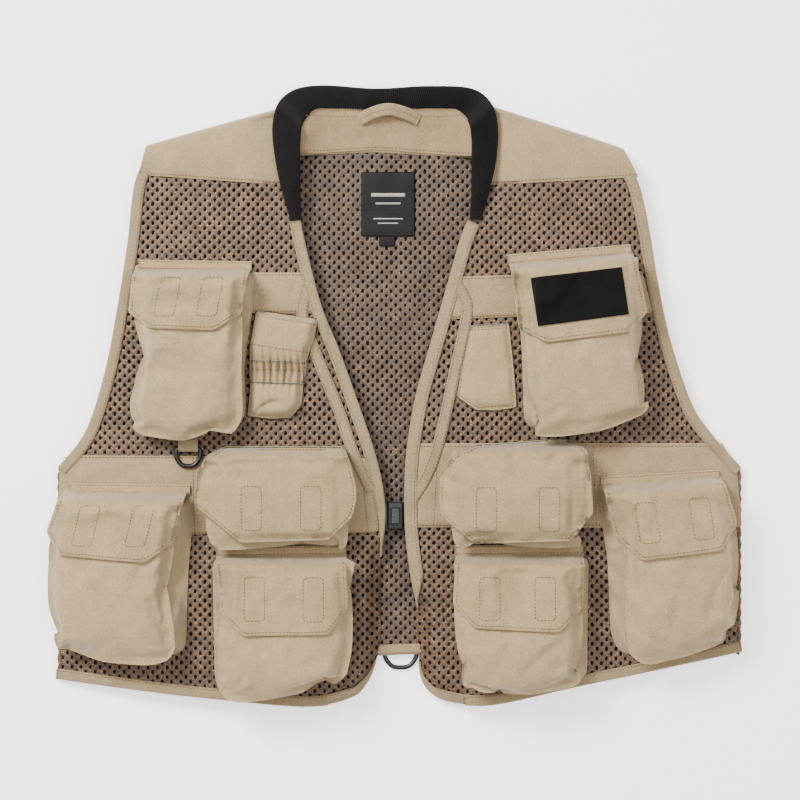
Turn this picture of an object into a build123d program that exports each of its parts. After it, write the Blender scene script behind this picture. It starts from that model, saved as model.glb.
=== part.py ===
from build123d import *
from math import atan2, cos, hypot, radians, sin, tan
import os

os.makedirs("parts", exist_ok=True)

# A mesh fishing vest lying on its back, front up. Millimetres.
# +X is the viewer's right, +Y is towards the collar, +Z is up off the surface it lies on.
# Z = 0 is that surface. Outlines are drawn about the neck's line, and save() moves the origin to MIDDLE,
# which is under the middle of the vest's bounding box.
MIDDLE = (0.0, 4.0)

# Cloth thicknesses and the stack of layers on the front.
MESH = 1.2
BAND = 1.0
BINDING_WIDTH = 9.5
FRONT_BINDING = 1.8
BACK_BINDING = 2.0
DRAPE_HEIGHT = 16.0
POCKET_BASE = 2.6
POUCH_BASE = 3.6
REACH = 320.0
TALL = 120.0

# The front lies level between the knees, then slopes down to the side folds.
KNEE = 190.0
LEFT_FOLD = -298.0
RIGHT_FOLD = 304.0

# Armholes, from the shoulder to the underarm.
LEFT_ARMHOLE = [(-215, 219), (-229, 192), (-237, 136), (-245, 80), (-256, 24), (-275, -31), (LEFT_FOLD, -60)]
RIGHT_ARMHOLE = [(194, 219), (212, 192), (222, 150), (229, 108), (241, 52), (260, -4), (279, -32)]
RIGHT_ARMHOLE += [(RIGHT_FOLD, -60)]

# Front edges, from the end of the collar to the hem's corner, and on along the hem to the side.
LEFT_EDGE = [(-84, 158), (-66, 84), (-50, 44), (-30, -12), (-18, -48), (-10, -90), (-12, -140)]
LEFT_EDGE += [(-14, -205), (-20, -240), (-40, -263), (-79, -269.5), (-161, -262.5), (-225, -256)]
LEFT_EDGE += [(LEFT_FOLD, -246)]
RIGHT_EDGE = [(63, 158), (48, 111), (31, 52), (17, 2), (9, -48), (8, -105), (13, -155), (19, -205)]
RIGHT_EDGE += [(25, -248), (41, -264), (66, -268.5), (97, -266), (159, -252), (227, -238)]
RIGHT_EDGE += [(RIGHT_FOLD, -222)]

# Shoulders: the fold lines over which the padded yokes turn to the back.
LEFT_SHOULDER = [(-213, 221.5), (-108, 250.5)]
RIGHT_SHOULDER = [(89.5, 252), (193.5, 219.5)]
YOKE = 2.4
YOKE_FOLD = 9.3
YOKE_BACK = 22.0
YOKE_FRONT = 70.0
SHOULDER_BLOCK_Y = 203.0
LEFT_YOKE_SEAM = [(-240, 199), (-90, 188)]
RIGHT_YOKE_SEAM = [(80, 188), (230, 199)]

# Rib-knit collar.
COLLAR_OUTER = [(-92, 158.4), (-101.5, 189), (-107.5, 227), (-106.8, 250), (-97, 268), (-75, 277.5)]
COLLAR_OUTER += [(-18, 275), (44, 277.5), (74, 269), (88, 251), (88.5, 211), (82, 183), (75, 158.4)]
COLLAR_INNER = [(65, 158.4), (66, 211), (66, 253.5), (-83, 253.5), (-84, 158.4)]
COLLAR_TOP = 22.0
COLLAR_BACK_BOTTOM = 0.3
COLLAR_SIDE_BOTTOM = 14.0
COLLAR_BACK_Y = 253.5
COLLAR_GAP = 0.4

# Inside of the back, seen through the open front.
BACK_SEAM = [(-208, 197), (-82, 217), (-18, 221), (66, 215), (190, 196)]
BACK_YOKE_RIGHT = [(186, 198.3), (82.5, 230.5)]
BACK_YOKE_LEFT = [(-101.5, 229), (-206, 200.6)]
BACK_HEM = [(LEFT_FOLD, -244), (-150, -235), (4, -224.4), (150, -224.4), (RIGHT_FOLD, -222)]
LABEL_SIZE = (47.0, 57.0)
LABEL_CENTRE = (-7.0, 173.0)
SIZE_TAB = (14.0, 9.0)
LABEL = 0.8

# Tan bands across the front, each as its lowest and highest edge.
LEFT_WAIST = [(-300, -48), (-10, -48), (-10, -119), (-300, -119)]
RIGHT_WAIST = [(5, -37.5), (310, -37.5), (310, -112), (5, -112)]
LEFT_CHEST = [(-260, 112), (-70, 108), (-70, 75), (-260, 77)]
RIGHT_CHEST = [(40, 108), (240, 114), (240, 77), (40, 71)]
LEFT_TAPE = [(-78, 100), (-70, 55), (-47, -13), (-27, -61), (-14, -90)]
RIGHT_TAPE = [(62, 100), (60, 50), (47, -2), (34, -48), (17, -84)]
TAPE_WIDTH = 9.6
TAPE_LOW = 2.3

# Pockets.
WALL = 1.4
STRIP_HEIGHT = 8.0
STRIP = 2.4
TURN_ROOM = 10.0
FLAP = 1.8
FLAP_RISE = 2.6
HOOK = 1.0
HOOK_WIDTH = 18.0
FLAP_RUN = 8.0
MOUTH = 18.0
MOUTH_LIP = 2.0
MOUTH_END = 10.0
MOUTH_EDGE = 4.0
RIB = 2.8
RIB_GAP = 1.3
BOTTOM_RADIUS = 12.0
TOP_RADIUS = 3.0
FLAP_FLARE = 4.0
PATCH_SIZE = (80.0, 42.0)
PATCH_MIDDLE = (5.0, -35.0)
PATCH = 1.4
PATCH_Z = FLAP_RISE + FLAP

# Every flapped pocket: the middle of its hinge strip's lower edge, its turn in the front's plane and its
# tilt down to the side, then body width, length and depth, flap width and length, the cut off the flap's
# corners, and the hook tapes' middles and their top and bottom below the strip.
POCKETS = {
    "left_chest": dict(at=(-178, 115), turn=0, tilt=-4, body=(102, 147, 28), flap=(102, 55),
                       cut=(20, 15), hooks=(-24, 13), hook_span=(8, 43)),
    "right_chest": dict(at=(155, 124.5), turn=4.5, tilt=4, body=(111, 150, 28), flap=(114, 71),
                        cut=(20, 15), hooks=(-22, 22), hook_span=(20, 55)),
    "left_outer": dict(at=(-242, -81), turn=0, tilt=-7.8, body=(112, 146, 34), flap=(113, 60),
                       cut=(20, 18), hooks=(-24, 23), hook_span=(10, 46)),
    "right_outer": dict(at=(237, -71.5), turn=4, tilt=7.4, body=(106, 150, 34), flap=(108, 66),
                        cut=(20, 18), hooks=(-26, 20), hook_span=(17, 52)),
    "left_inner_upper": dict(at=(-106, -40.5), turn=0, tilt=0, body=(123, 84, 30), flap=(140, 85),
                             cut=(28, 27), hooks=(-21, 30), hook_span=(34, 73)),
    "right_inner_upper": dict(at=(104.5, -37), turn=0, tilt=0, body=(130, 87, 30), flap=(135, 89),
                              cut=(26, 26), hooks=(-26, 28.5), hook_span=(38, 77)),
    "left_inner_lower": dict(at=(-101, -136.5), turn=0, tilt=0, body=(125, 124, 32), flap=(114, 69),
                             cut=(20, 22), hooks=(-22, 29), hook_span=(17, 56)),
    "right_inner_lower": dict(at=(108.5, -136), turn=0, tilt=0, body=(119, 119, 32), flap=(115, 66),
                              cut=(20, 22), hooks=(-26, 22), hook_span=(17, 55)),
}
NO_STRIP = ("left_inner_upper", "right_inner_upper")

# Elastic tool pocket on the left chest and slit pocket on the right chest.
TOOL_POCKET = [(-123, 79), (-68, 72), (-79, 30), (-81, -4), (-92, -16.5), (-125, -16.5), (-125, 30)]
TOOL_DEPTH = 13.0
ELASTIC = [(-124, 37), (-80, 34), (-82, 12), (-124, 15)]
SIDE_POCKET = [(65, 66), (96, 68), (100, -6), (72, -9), (55, 2), (56, 22)]
SIDE_DEPTH = 7.4
POUCH_MOUTH = 5.0
ELASTIC_HEIGHT = 2.0

# Centre-press buckle on a 20 mm strap, seen in the gap between the front edges.
STRAP_WIDTH = 20.0
STRAP = 1.3
STRAP_Z = 6.65
STRAP_END = 75.0
BUCKLE_Y = -102.0
BUCKLE_HEIGHT = 24.0
SHELL_BOTTOM = 3.6
SHELL_TOP = 13.0
SHELL_LEFT = -7.6
SHELL_RIGHT = 18.0
TONGUE = (8.0, 9.9)
BUTTON_SIZE = (8.0, 14.4)
BUTTON_X = -0.5
BUTTON_TOP = 14.2
STRAP_BAR = (6.4, 10.2)
STRAP_PLAY = 0.6
STRAP_SLOT = 0.9
STRAP_TAIL = 46.0
STRAP_FOOT = 58.0
STRAP_SAG = 45.0
SHELL_WALL = 1.4
SOCKET_EYE = 7.0
SOCKET_BAR = 2.4
CUT_PAST = 1.0
BUTTON_PLAY = 0.2
BUTTON_BASE = 11.7
TONGUE_GAP = 0.3
TONGUE_PLATE = 2.0
TONGUE_END = 7.0
FRAME_LENGTH = 12.4
FRAME_EYE = 10.2
FRAME_Z = (5.2, 9.9)

# D-rings.
CHEST_RING_AT = (-182.5, -42.0)
CHEST_RING = [(-11, 0), (11, 0), (11, -8), (5, -16), (-5, -16), (-11, -8)]
CHEST_RING_WIRE = 3.4
CHEST_TAB_WIDTH = 17.5
NET_RING_AT = (4.0, -219.0)
NET_RING = [(-14, 0), (14, 0), (14, -8), (7, -16.5), (-7, -16.5), (-14, -8)]
NET_RING_WIRE = 2.4
NET_RING_Z = 1.9
NET_TAB_WIDTH = 16.0
HEM_LIFT = 3.75
HEM_RAMP = (-34.0, -18.0, 26.0, 42.0)
TAB_SKIN = 1.0
TAB_TAIL = 9.0
NET_TAB_SKIN = 0.4
NET_TAB_TAIL = 0.1
RING_CORNER = 2.2
RING_PLAY = 0.25

# Hanger loop at the back of the neck.
LOOP_MIDDLE = -6.0
LOOP_SPAN = 60.0
LOOP_RISE = 17.0
LOOP_WIDTH = 10.0
LOOP_Y = 247.0
LOOP_TAPE = 1.8
LOOP_FOOT = 5.0


def save(builder, name):
    """Labels a finished sub-part, with the origin under the vest's middle, and writes it to its own file."""
    placed = Pos(-MIDDLE[0], -MIDDLE[1], 0) * builder.part
    placed.label = name
    export_step(placed, f"parts/{name}.step")


def inset(points, distance):
    """Moves an open line of points to its left by distance."""
    moved = []
    for i, (x, y) in enumerate(points):
        x0, y0 = points[max(i - 1, 0)]
        x1, y1 = points[min(i + 1, len(points) - 1)]
        run = hypot(x1 - x0, y1 - y0)
        moved.append((x - distance * (y1 - y0) / run, y + distance * (x1 - x0) / run))
    return moved


def strip(points, width):
    """The flat outline of a tape that follows a smooth line of points."""
    inner = inset(points, width)
    with BuildSketch() as face:
        with BuildLine():
            Spline(*points)
            Line(points[-1], inner[-1])
            Spline(*reversed(inner))
            Line(inner[0], points[0])
        make_face()
    return face.sketch


def drape(low, high):
    """The section of a layer of the front, low to high above its underside, as points of X and Z."""
    outline = []
    for rise, order in ((low, 1), (high, -1)):
        knees = [(LEFT_FOLD, MESH), (-KNEE, DRAPE_HEIGHT), (KNEE, DRAPE_HEIGHT), (RIGHT_FOLD, MESH)]
        outline += [(x, z + rise) for x, z in knees[::order]]
    return outline


def front_layer(low, high, *faces):
    """A layer of the front that follows its slope, cut to every one of the flat outlines."""
    with BuildPart() as layer:
        with BuildSketch(Plane.XZ):
            with BuildLine():
                Polyline(*drape(low, high), close=True)
            make_face()
        extrude(amount=REACH, both=True)
        for face in faces:
            extrude(face, amount=TALL, both=True, mode=Mode.INTERSECT)
    return layer


def flat_layer(low, high, *faces):
    """A level layer between two heights, cut to every one of the flat outlines."""
    with BuildPart() as layer:
        with BuildSketch(Plane.XY.offset(low)):
            Rectangle(2 * REACH, 2 * REACH)
        extrude(amount=high - low)
        for face in faces:
            extrude(face, amount=TALL, both=True, mode=Mode.INTERSECT)
    return layer


def polygon(points):
    """The flat face inside a closed run of points."""
    with BuildSketch() as face:
        with BuildLine():
            Polyline(*points, close=True)
        make_face()
    return face.sketch


def beside(seam, side):
    """Everything below a seam that runs left to right, side -1, or above it, side 1."""
    ends = [(-REACH, seam[0][1]), *seam, (REACH, seam[-1][1])]
    return polygon([*ends, (REACH, side * REACH), (-REACH, side * REACH)])


def front_face(armhole, edge, collar, fold):
    """A front's flat outline inside its bindings, from the shoulder's fold to the hem."""
    with BuildSketch() as face:
        with BuildLine():
            Spline(*armhole)
            Polyline(armhole[-1], fold, edge[-1])
            Spline(*reversed(edge))
            Polyline(edge[0], *collar, armhole[0])
        make_face()
    return face.sketch


def yoke_slab(shoulder, face, seam):
    """A padded yoke: a sheet that lies on the front, turns over the shoulder and ends on the back."""
    (x0, y0), (x1, y1) = shoulder
    angle = atan2(y1 - y0, x1 - x0)
    along = (cos(angle), sin(angle), 0)
    outward = (-sin(angle), cos(angle), 0)
    middle = Plane(origin=((x0 + x1) / 2, (y0 + y1) / 2, 0), x_dir=outward, z_dir=along)
    inner = YOKE_FOLD - YOKE
    top = 2 * YOKE_FOLD
    with BuildPart() as yoke:
        with BuildSketch(middle):
            with BuildLine():
                Line((-YOKE_FRONT, top), (-YOKE_FOLD, top))
                ThreePointArc((-YOKE_FOLD, top), (0, YOKE_FOLD), (-YOKE_FOLD, 0))
                Polyline((-YOKE_FOLD, 0), (-YOKE_BACK, 0), (-YOKE_BACK, YOKE), (-YOKE_FOLD, YOKE))
                ThreePointArc((-YOKE_FOLD, YOKE), (inner - YOKE_FOLD, YOKE_FOLD), (-YOKE_FOLD, top - YOKE))
                Polyline((-YOKE_FOLD, top - YOKE), (-YOKE_FRONT, top - YOKE), (-YOKE_FRONT, top))
            make_face()
        extrude(amount=TALL, both=True)
        extrude(face, amount=TALL, both=True, mode=Mode.INTERSECT)
        extrude(beside(seam, 1), amount=TALL, both=True, mode=Mode.INTERSECT)
    return yoke


def armhole_binding(points, width, shoulder_y):
    """The tape round an armhole: front run, shoulder turn and back run."""
    face = strip(points, width)
    front = front_layer(0, FRONT_BINDING, face)
    with BuildPart() as binding:
        add(front.part)
        extrude(face, amount=BACK_BINDING)
        with BuildSketch() as shoulder:
            add(face)
            with Locations((0, shoulder_y - REACH)):
                Rectangle(2 * REACH, 2 * REACH, mode=Mode.SUBTRACT)
        extrude(shoulder.sketch, amount=2 * YOKE_FOLD)
    return binding


def front_height(x):
    """The height of the front's underside."""
    fold = LEFT_FOLD if x < 0 else RIGHT_FOLD
    drop = max(0, abs(x) - KNEE) * (DRAPE_HEIGHT - MESH) / (abs(fold) - KNEE)
    return DRAPE_HEIGHT - drop


def pocket_plane(spec):
    """The plane a pocket is sewn to: x along its top edge, y towards the collar, z out of the vest."""
    x, y = spec["at"]
    tilt = radians(spec["tilt"])
    turn = radians(spec["turn"])
    half = spec["body"][0] / 2
    side = -1 if x < 0 else 1
    touching = [x - half, x + half, side * max(KNEE, abs(x) - half)]
    height = max(front_height(at) + (at - x) * tan(tilt) for at in touching)
    along = Vector(cos(tilt), 0, -sin(tilt))
    out = Vector(sin(tilt), 0, cos(tilt))
    up = out.cross(along)
    return Plane(
        origin=(x, y, height + POCKET_BASE + TURN_ROOM * abs(sin(turn))),
        x_dir=along * cos(turn) + up * sin(turn),
        z_dir=out,
    )


def bag(plane, spec, shrink):
    """A bag from its sewn outline to its front, or its hollow, with every wall moved in by shrink."""
    width, length, depth = spec["body"]
    x = width / 2 - shrink
    low = shrink - length
    radii = [TOP_RADIUS, BOTTOM_RADIUS - shrink, BOTTOM_RADIUS - shrink, TOP_RADIUS]
    with BuildPart() as part:
        for height, top in ((shrink, -shrink), (depth - shrink, -FLAP_RUN - shrink)):
            with BuildSketch(plane.offset(height)):
                with BuildLine():
                    FilletPolyline((x, top), (x, low), (-x, low), (-x, top), radius=radii, close=True)
                make_face()
        loft(ruled=True)
    return part


def front_plane(plane, spec):
    """The plane of a pocket's front face."""
    return plane.offset(spec["body"][2])


def pocket_body(name, spec):
    """A hollow pocket: its mouth in the front, the hinge rib above that and the seam strip at the top."""
    width, length, depth = spec["body"]
    plane = pocket_plane(spec)
    front = front_plane(plane, spec)
    outer = bag(plane, spec, 0)
    hollow = bag(plane, spec, WALL)
    section = Plane(origin=plane.origin, x_dir=plane.y_dir, z_dir=plane.x_dir)
    rib_front = RIB_GAP - FLAP_RUN
    rib_top = depth + FLAP_RISE
    slope_at_rib = depth * -rib_front / FLAP_RUN
    with BuildPart() as body:
        add(outer.part)
        if name not in NO_STRIP:
            with BuildSketch(plane):
                with Locations((0, (STRIP_HEIGHT - TOP_RADIUS) / 2)):
                    Rectangle(spec["flap"][0], STRIP_HEIGHT + TOP_RADIUS)
            extrude(amount=STRIP)
        with BuildSketch(section):
            with BuildLine():
                low = [(rib_front, slope_at_rib - STRIP), (rib_front, rib_top), (rib_front + RIB, rib_top)]
                Polyline(*low, (-TOP_RADIUS, STRIP), close=True)
            make_face()
        extrude(amount=min(width, spec["flap"][0]) / 2 - TOP_RADIUS, both=True)
        add(hollow.part, mode=Mode.SUBTRACT)
        with BuildSketch(front.offset(-2 * WALL)):
            with Locations((0, -FLAP_RUN - MOUTH_LIP - MOUTH / 2)):
                Rectangle(width - 2 * MOUTH_END, MOUTH)
        extrude(amount=3 * WALL, mode=Mode.SUBTRACT)
    return body


def pocket_flap(spec):
    """A flap, from the fold line at its hinge to its cut corners."""
    width, length = spec["flap"]
    cut_x, cut_y = spec["cut"]
    x = width / 2
    root = x - FLAP_FLARE
    right = [(root, -FLAP_RUN), (x, cut_y - length), (x - cut_x, -length)]
    left = [(-px, py) for px, py in reversed(right)]
    with BuildPart() as flap:
        with BuildSketch(front_plane(pocket_plane(spec), spec).offset(FLAP_RISE)):
            with BuildLine():
                Polyline(*right, *left, close=True)
            make_face()
        extrude(amount=FLAP)
    return flap


def tapes(spec, height, top, bottom):
    """A pocket's pair of hook or loop tapes, height above its front face."""
    with BuildPart() as pair:
        with BuildSketch(front_plane(pocket_plane(spec), spec).offset(height)):
            with Locations(*[(x, -(top + bottom) / 2) for x in spec["hooks"]]):
                Rectangle(HOOK_WIDTH, bottom - top)
        extrude(amount=HOOK)
    return pair


def pouch(outline, depth):
    """A flat pouch on the front, open at its top."""
    base = DRAPE_HEIGHT + POUCH_BASE
    with BuildPart() as part:
        with BuildSketch(Plane.XY.offset(base)):
            add(polygon(outline))
        extrude(amount=depth)
        with BuildSketch(Plane.XY.offset(base + WALL)):
            add(polygon(outline))
            offset(amount=-WALL, kind=Kind.INTERSECTION, mode=Mode.REPLACE)
            with BuildLine():
                (x0, y0), (x1, y1) = sorted(outline, key=lambda point: -point[1])[:2]
                Polyline((x0, y0), (x1, y1), (x1, y1 + POUCH_MOUTH), (x0, y0 + POUCH_MOUTH), close=True)
            make_face()
        extrude(amount=depth - 2 * WALL, mode=Mode.SUBTRACT)
    return part


def ring(points, wire, at, height):
    """A D-ring lying flat, its bar along X through the point given."""
    with BuildPart() as part:
        with BuildLine(Plane(origin=(at[0], at[1], height))) as path:
            FilletPolyline(*points, radius=RING_CORNER, close=True)
        start = path.line @ 0
        with BuildSketch(Plane(origin=start, z_dir=path.line % 0)):
            Circle(wire / 2)
        sweep(path=path.line)
    return part


def ring_tab(wire, at, height, width, skin, tail):
    """A fabric tab that loops round a D-ring's bar; tail is the length of its sewn end and its underside."""
    run, low = tail
    hole = wire / 2 + RING_PLAY
    with BuildPart() as tab:
        with BuildSketch(Plane(origin=(at[0], at[1], 0), x_dir=(0, 1, 0), z_dir=(1, 0, 0))):
            with Locations((0, height)):
                Circle(hole + skin)
            with Locations((run / 2, low + skin / 2)):
                Rectangle(run, skin)
            with Locations((0, height)):
                Circle(hole, mode=Mode.SUBTRACT)
        extrude(amount=width / 2, both=True)
    return tab


def buckle_section(points):
    """A closed outline in the buckle's X and Z, ready to extrude both ways along Y."""
    with BuildSketch(Plane.XZ.offset(-BUCKLE_Y)) as section:
        with BuildLine():
            Polyline(*points, close=True)
        make_face()
    return section.sketch


def block(x0, x1, half_width, z0, z1):
    """A box section in the buckle's frame and half its width along Y."""
    return buckle_section([(x0, z0), (x1, z0), (x1, z1), (x0, z1)]), half_width


def buckle_part(solid, hollow):
    """A buckle piece: every solid box joined, then every hollow box taken away."""
    with BuildPart() as part:
        for section, half_width in solid:
            extrude(section, amount=half_width, both=True)
        for section, half_width in hollow:
            extrude(section, amount=half_width, both=True, mode=Mode.SUBTRACT)
    return part


def strap(points):
    """A ribbon that follows points of X and Z, its width along Y."""
    with BuildPart() as ribbon:
        with BuildSketch(Plane.XZ.offset(-BUCKLE_Y)):
            with BuildLine():
                Polyline(*points)
            trace(line_width=STRAP)
        extrude(amount=STRAP_WIDTH / 2, both=True)
    return ribbon


# Outlines inside the bindings.
left_armhole_inner = inset(LEFT_ARMHOLE, BINDING_WIDTH)
right_armhole_inner = inset(RIGHT_ARMHOLE, -BINDING_WIDTH)
left_edge_inner = inset(LEFT_EDGE, -BINDING_WIDTH)
right_edge_inner = inset(RIGHT_EDGE, BINDING_WIDTH)
left_neck = [(x - COLLAR_GAP, y) for x, y in COLLAR_OUTER[:4]]
right_neck = [(x + COLLAR_GAP, y) for x, y in reversed(COLLAR_OUTER[-4:])]
left_face = front_face(left_armhole_inner, left_edge_inner, left_neck, LEFT_ARMHOLE[-1])
right_face = front_face(right_armhole_inner, right_edge_inner, right_neck, RIGHT_ARMHOLE[-1])

# Fronts, yokes, bindings and bands.
save(front_layer(0, MESH, left_face, beside(LEFT_YOKE_SEAM, -1)), "left_front_mesh")
save(front_layer(0, MESH, right_face, beside(RIGHT_YOKE_SEAM, -1)), "right_front_mesh")
save(yoke_slab(LEFT_SHOULDER, left_face, LEFT_YOKE_SEAM), "left_shoulder_yoke")
save(yoke_slab(RIGHT_SHOULDER, right_face, RIGHT_YOKE_SEAM), "right_shoulder_yoke")
save(armhole_binding(LEFT_ARMHOLE, BINDING_WIDTH, SHOULDER_BLOCK_Y), "left_armhole_binding")
save(armhole_binding(RIGHT_ARMHOLE, -BINDING_WIDTH, SHOULDER_BLOCK_Y), "right_armhole_binding")
save(front_layer(0, FRONT_BINDING, strip(LEFT_EDGE, -BINDING_WIDTH)), "left_front_binding")
save(front_layer(0, FRONT_BINDING, strip(RIGHT_EDGE, BINDING_WIDTH)), "right_front_binding")
for band_name, band_outline, band_face in (
    ("left_waist_band", LEFT_WAIST, left_face),
    ("right_waist_band", RIGHT_WAIST, right_face),
    ("left_chest_band", LEFT_CHEST, left_face),
    ("right_chest_band", RIGHT_CHEST, right_face),
):
    save(front_layer(MESH, MESH + BAND, band_face, polygon(band_outline)), band_name)
save(front_layer(TAPE_LOW, TAPE_LOW + BAND, strip(LEFT_TAPE, -TAPE_WIDTH)), "left_gear_tape")
save(front_layer(TAPE_LOW, TAPE_LOW + BAND, strip(RIGHT_TAPE, -TAPE_WIDTH)), "right_gear_tape")

# Back.
back_hem_inner = inset(BACK_HEM, BINDING_WIDTH)
with BuildSketch() as back_face:
    with BuildLine():
        Spline(*right_armhole_inner)
        Polyline(right_armhole_inner[-1], RIGHT_ARMHOLE[-1], *reversed(back_hem_inner), LEFT_ARMHOLE[-1])
        Line(LEFT_ARMHOLE[-1], left_armhole_inner[-1])
        Spline(*reversed(left_armhole_inner))
        Polyline(left_armhole_inner[0], (BACK_SEAM[2][0], REACH), right_armhole_inner[0])
    make_face()
save(flat_layer(0, MESH, back_face.sketch, beside(BACK_SEAM, -1)), "back_mesh")
yoke_top = [(x, COLLAR_BACK_Y) for x in (BACK_YOKE_RIGHT[1][0], BACK_YOKE_LEFT[0][0])]
yoke_outline = [*BACK_SEAM, *BACK_YOKE_RIGHT, *yoke_top, *BACK_YOKE_LEFT]
save(flat_layer(0, MESH, polygon(yoke_outline)), "back_yoke")
facing_outline = [*BACK_SEAM[1:4], *[(x, COLLAR_BACK_Y - COLLAR_GAP) for x in (66, -82)]]
save(flat_layer(MESH, 2 * MESH, polygon(facing_outline)), "neck_facing")

with BuildPart() as back_hem:
    with BuildSketch(Plane.XZ):
        with BuildLine():
            raised = [(HEM_RAMP[0], 0), (HEM_RAMP[1], HEM_LIFT), (HEM_RAMP[2], HEM_LIFT), (HEM_RAMP[3], 0)]
            ramp = [(LEFT_FOLD, 0), *raised, (RIGHT_FOLD, 0)]
            lid = [(x, z + MESH) for x, z in reversed(ramp)]
            Polyline(*ramp, *lid, close=True)
        make_face()
    extrude(amount=REACH, both=True)
    hem_face = polygon([*BACK_HEM, *reversed(back_hem_inner)])
    extrude(hem_face, amount=TALL, both=True, mode=Mode.INTERSECT)
save(back_hem, "back_hem_binding")

with BuildPart() as neck_label:
    with BuildSketch(Plane.XY.offset(MESH)):
        with Locations(LABEL_CENTRE):
            Rectangle(*LABEL_SIZE)
        with Locations((LABEL_CENTRE[0], LABEL_CENTRE[1] - (LABEL_SIZE[1] + SIZE_TAB[1]) / 2)):
            Rectangle(*SIZE_TAB)
    extrude(amount=LABEL)
save(neck_label, "neck_label")

# Collar: a band across the back of the neck and two sides that run down on to the fronts.
with BuildPart() as collar:
    with BuildSketch(Plane.XY.offset(COLLAR_BACK_BOTTOM)):
        add(polygon([*COLLAR_OUTER, *COLLAR_INNER]))
    extrude(amount=COLLAR_TOP - COLLAR_BACK_BOTTOM)
    with BuildSketch(Plane.XY.offset(COLLAR_BACK_BOTTOM)):
        with Locations((0, COLLAR_BACK_Y - REACH)):
            Rectangle(2 * REACH, 2 * REACH)
    extrude(amount=COLLAR_SIDE_BOTTOM - COLLAR_BACK_BOTTOM, mode=Mode.SUBTRACT)
save(collar, "collar")

# Hanger loop: a low arch of tape that stands up from the facing.
with BuildPart() as hanger_loop:
    with BuildSketch(Plane.XZ.offset(-LOOP_Y)):
        with BuildLine():
            foot = 2 * MESH
            left = LOOP_MIDDLE - LOOP_SPAN / 2
            right = LOOP_MIDDLE + LOOP_SPAN / 2
            inner_top = (LOOP_MIDDLE, foot + LOOP_RISE - LOOP_TAPE)
            ThreePointArc((left, foot), (LOOP_MIDDLE, foot + LOOP_RISE), (right, foot))
            Line((right, foot), (right - LOOP_FOOT, foot))
            ThreePointArc((right - LOOP_FOOT, foot), inner_top, (left + LOOP_FOOT, foot))
            Line((left + LOOP_FOOT, foot), (left, foot))
        make_face()
    extrude(amount=LOOP_WIDTH / 2, both=True)
save(hanger_loop, "hanger_loop")

# Flapped pockets, their flaps and the hook tapes under the flaps.
with BuildPart() as loop_tapes:
    for pocket, spec in POCKETS.items():
        loops = tapes(spec, 0, FLAP_RUN + MOUTH + MOUTH_EDGE, spec["hook_span"][1])
        add(loops.part)
save(loop_tapes, "loop_tapes")
for pocket, spec in POCKETS.items():
    save(pocket_body(pocket, spec), f"{pocket}_pocket")
    save(pocket_flap(spec), f"{pocket}_flap")
    hook_top = max(spec["hook_span"][0], FLAP_RUN + MOUTH_LIP)
    hooks = tapes(spec, FLAP_RISE - HOOK, hook_top, spec["hook_span"][1])
    save(hooks, f"{pocket}_hook_tapes")

# Hook-and-loop patch on the right chest flap.
patch_pocket = POCKETS["right_chest"]
with BuildPart() as patch:
    with BuildSketch(front_plane(pocket_plane(patch_pocket), patch_pocket).offset(PATCH_Z)):
        with Locations(PATCH_MIDDLE):
            Rectangle(*PATCH_SIZE)
    extrude(amount=PATCH)
save(patch, "flap_patch")

# Pouches without a flap.
save(pouch(TOOL_POCKET, TOOL_DEPTH), "tool_pocket")
save(pouch(SIDE_POCKET, SIDE_DEPTH), "side_pocket")
with BuildPart() as elastic:
    with BuildSketch(Plane.XY.offset(DRAPE_HEIGHT + POUCH_BASE + TOOL_DEPTH)):
        add(polygon(ELASTIC))
    extrude(amount=ELASTIC_HEIGHT)
save(elastic, "tool_pocket_elastic")

# D-rings and their tabs.
band_top = DRAPE_HEIGHT + MESH + BAND
chest_ring_z = band_top + CHEST_RING_WIRE / 2 + RING_PLAY + TAB_SKIN
save(ring(CHEST_RING, CHEST_RING_WIRE, CHEST_RING_AT, chest_ring_z), "chest_d_ring")
chest_tail = (TAB_TAIL, band_top)
chest_tab = ring_tab(CHEST_RING_WIRE, CHEST_RING_AT, chest_ring_z, CHEST_TAB_WIDTH, TAB_SKIN, chest_tail)
save(chest_tab, "chest_ring_tab")
save(ring(NET_RING, NET_RING_WIRE, NET_RING_AT, NET_RING_Z), "net_d_ring")
net_tail = (NET_TAB_TAIL, NET_RING_Z)
net_tab = ring_tab(NET_RING_WIRE, NET_RING_AT, NET_RING_Z, NET_TAB_WIDTH, NET_TAB_SKIN, net_tail)
save(net_tab, "net_ring_tab")

# Buckle: the socket, the tongue that slides out of it, its press button and both straps.
rim = BUCKLE_HEIGHT / 2
eye = STRAP_WIDTH / 2 + STRAP_PLAY
below = SHELL_BOTTOM - CUT_PAST
above = SHELL_TOP + CUT_PAST
slot_left = SHELL_RIGHT - SOCKET_EYE
bar_left = SHELL_RIGHT - SOCKET_BAR
button_left = BUTTON_X - BUTTON_SIZE[0] / 2
button_right = BUTTON_X + BUTTON_SIZE[0] / 2
button_half = BUTTON_SIZE[1] / 2
cavity_right = slot_left - SHELL_WALL
cavity = (SHELL_BOTTOM + SHELL_WALL, SHELL_TOP - SHELL_WALL)
well = (button_left - BUTTON_PLAY, button_right + BUTTON_PLAY, button_half + BUTTON_PLAY)
socket = buckle_part(
    [block(SHELL_LEFT, SHELL_RIGHT, rim, SHELL_BOTTOM, SHELL_TOP)],
    [
        block(SHELL_LEFT - CUT_PAST, cavity_right, rim - SHELL_WALL, *cavity),
        block(slot_left, bar_left, eye, below, above),
        block(bar_left - CUT_PAST, SHELL_RIGHT + CUT_PAST, eye, below, STRAP_BAR[0]),
        block(bar_left - CUT_PAST, SHELL_RIGHT + CUT_PAST, eye, STRAP_BAR[1], above),
        block(*well, TONGUE[1], above),
    ],
)
save(socket, "buckle_socket")
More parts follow.
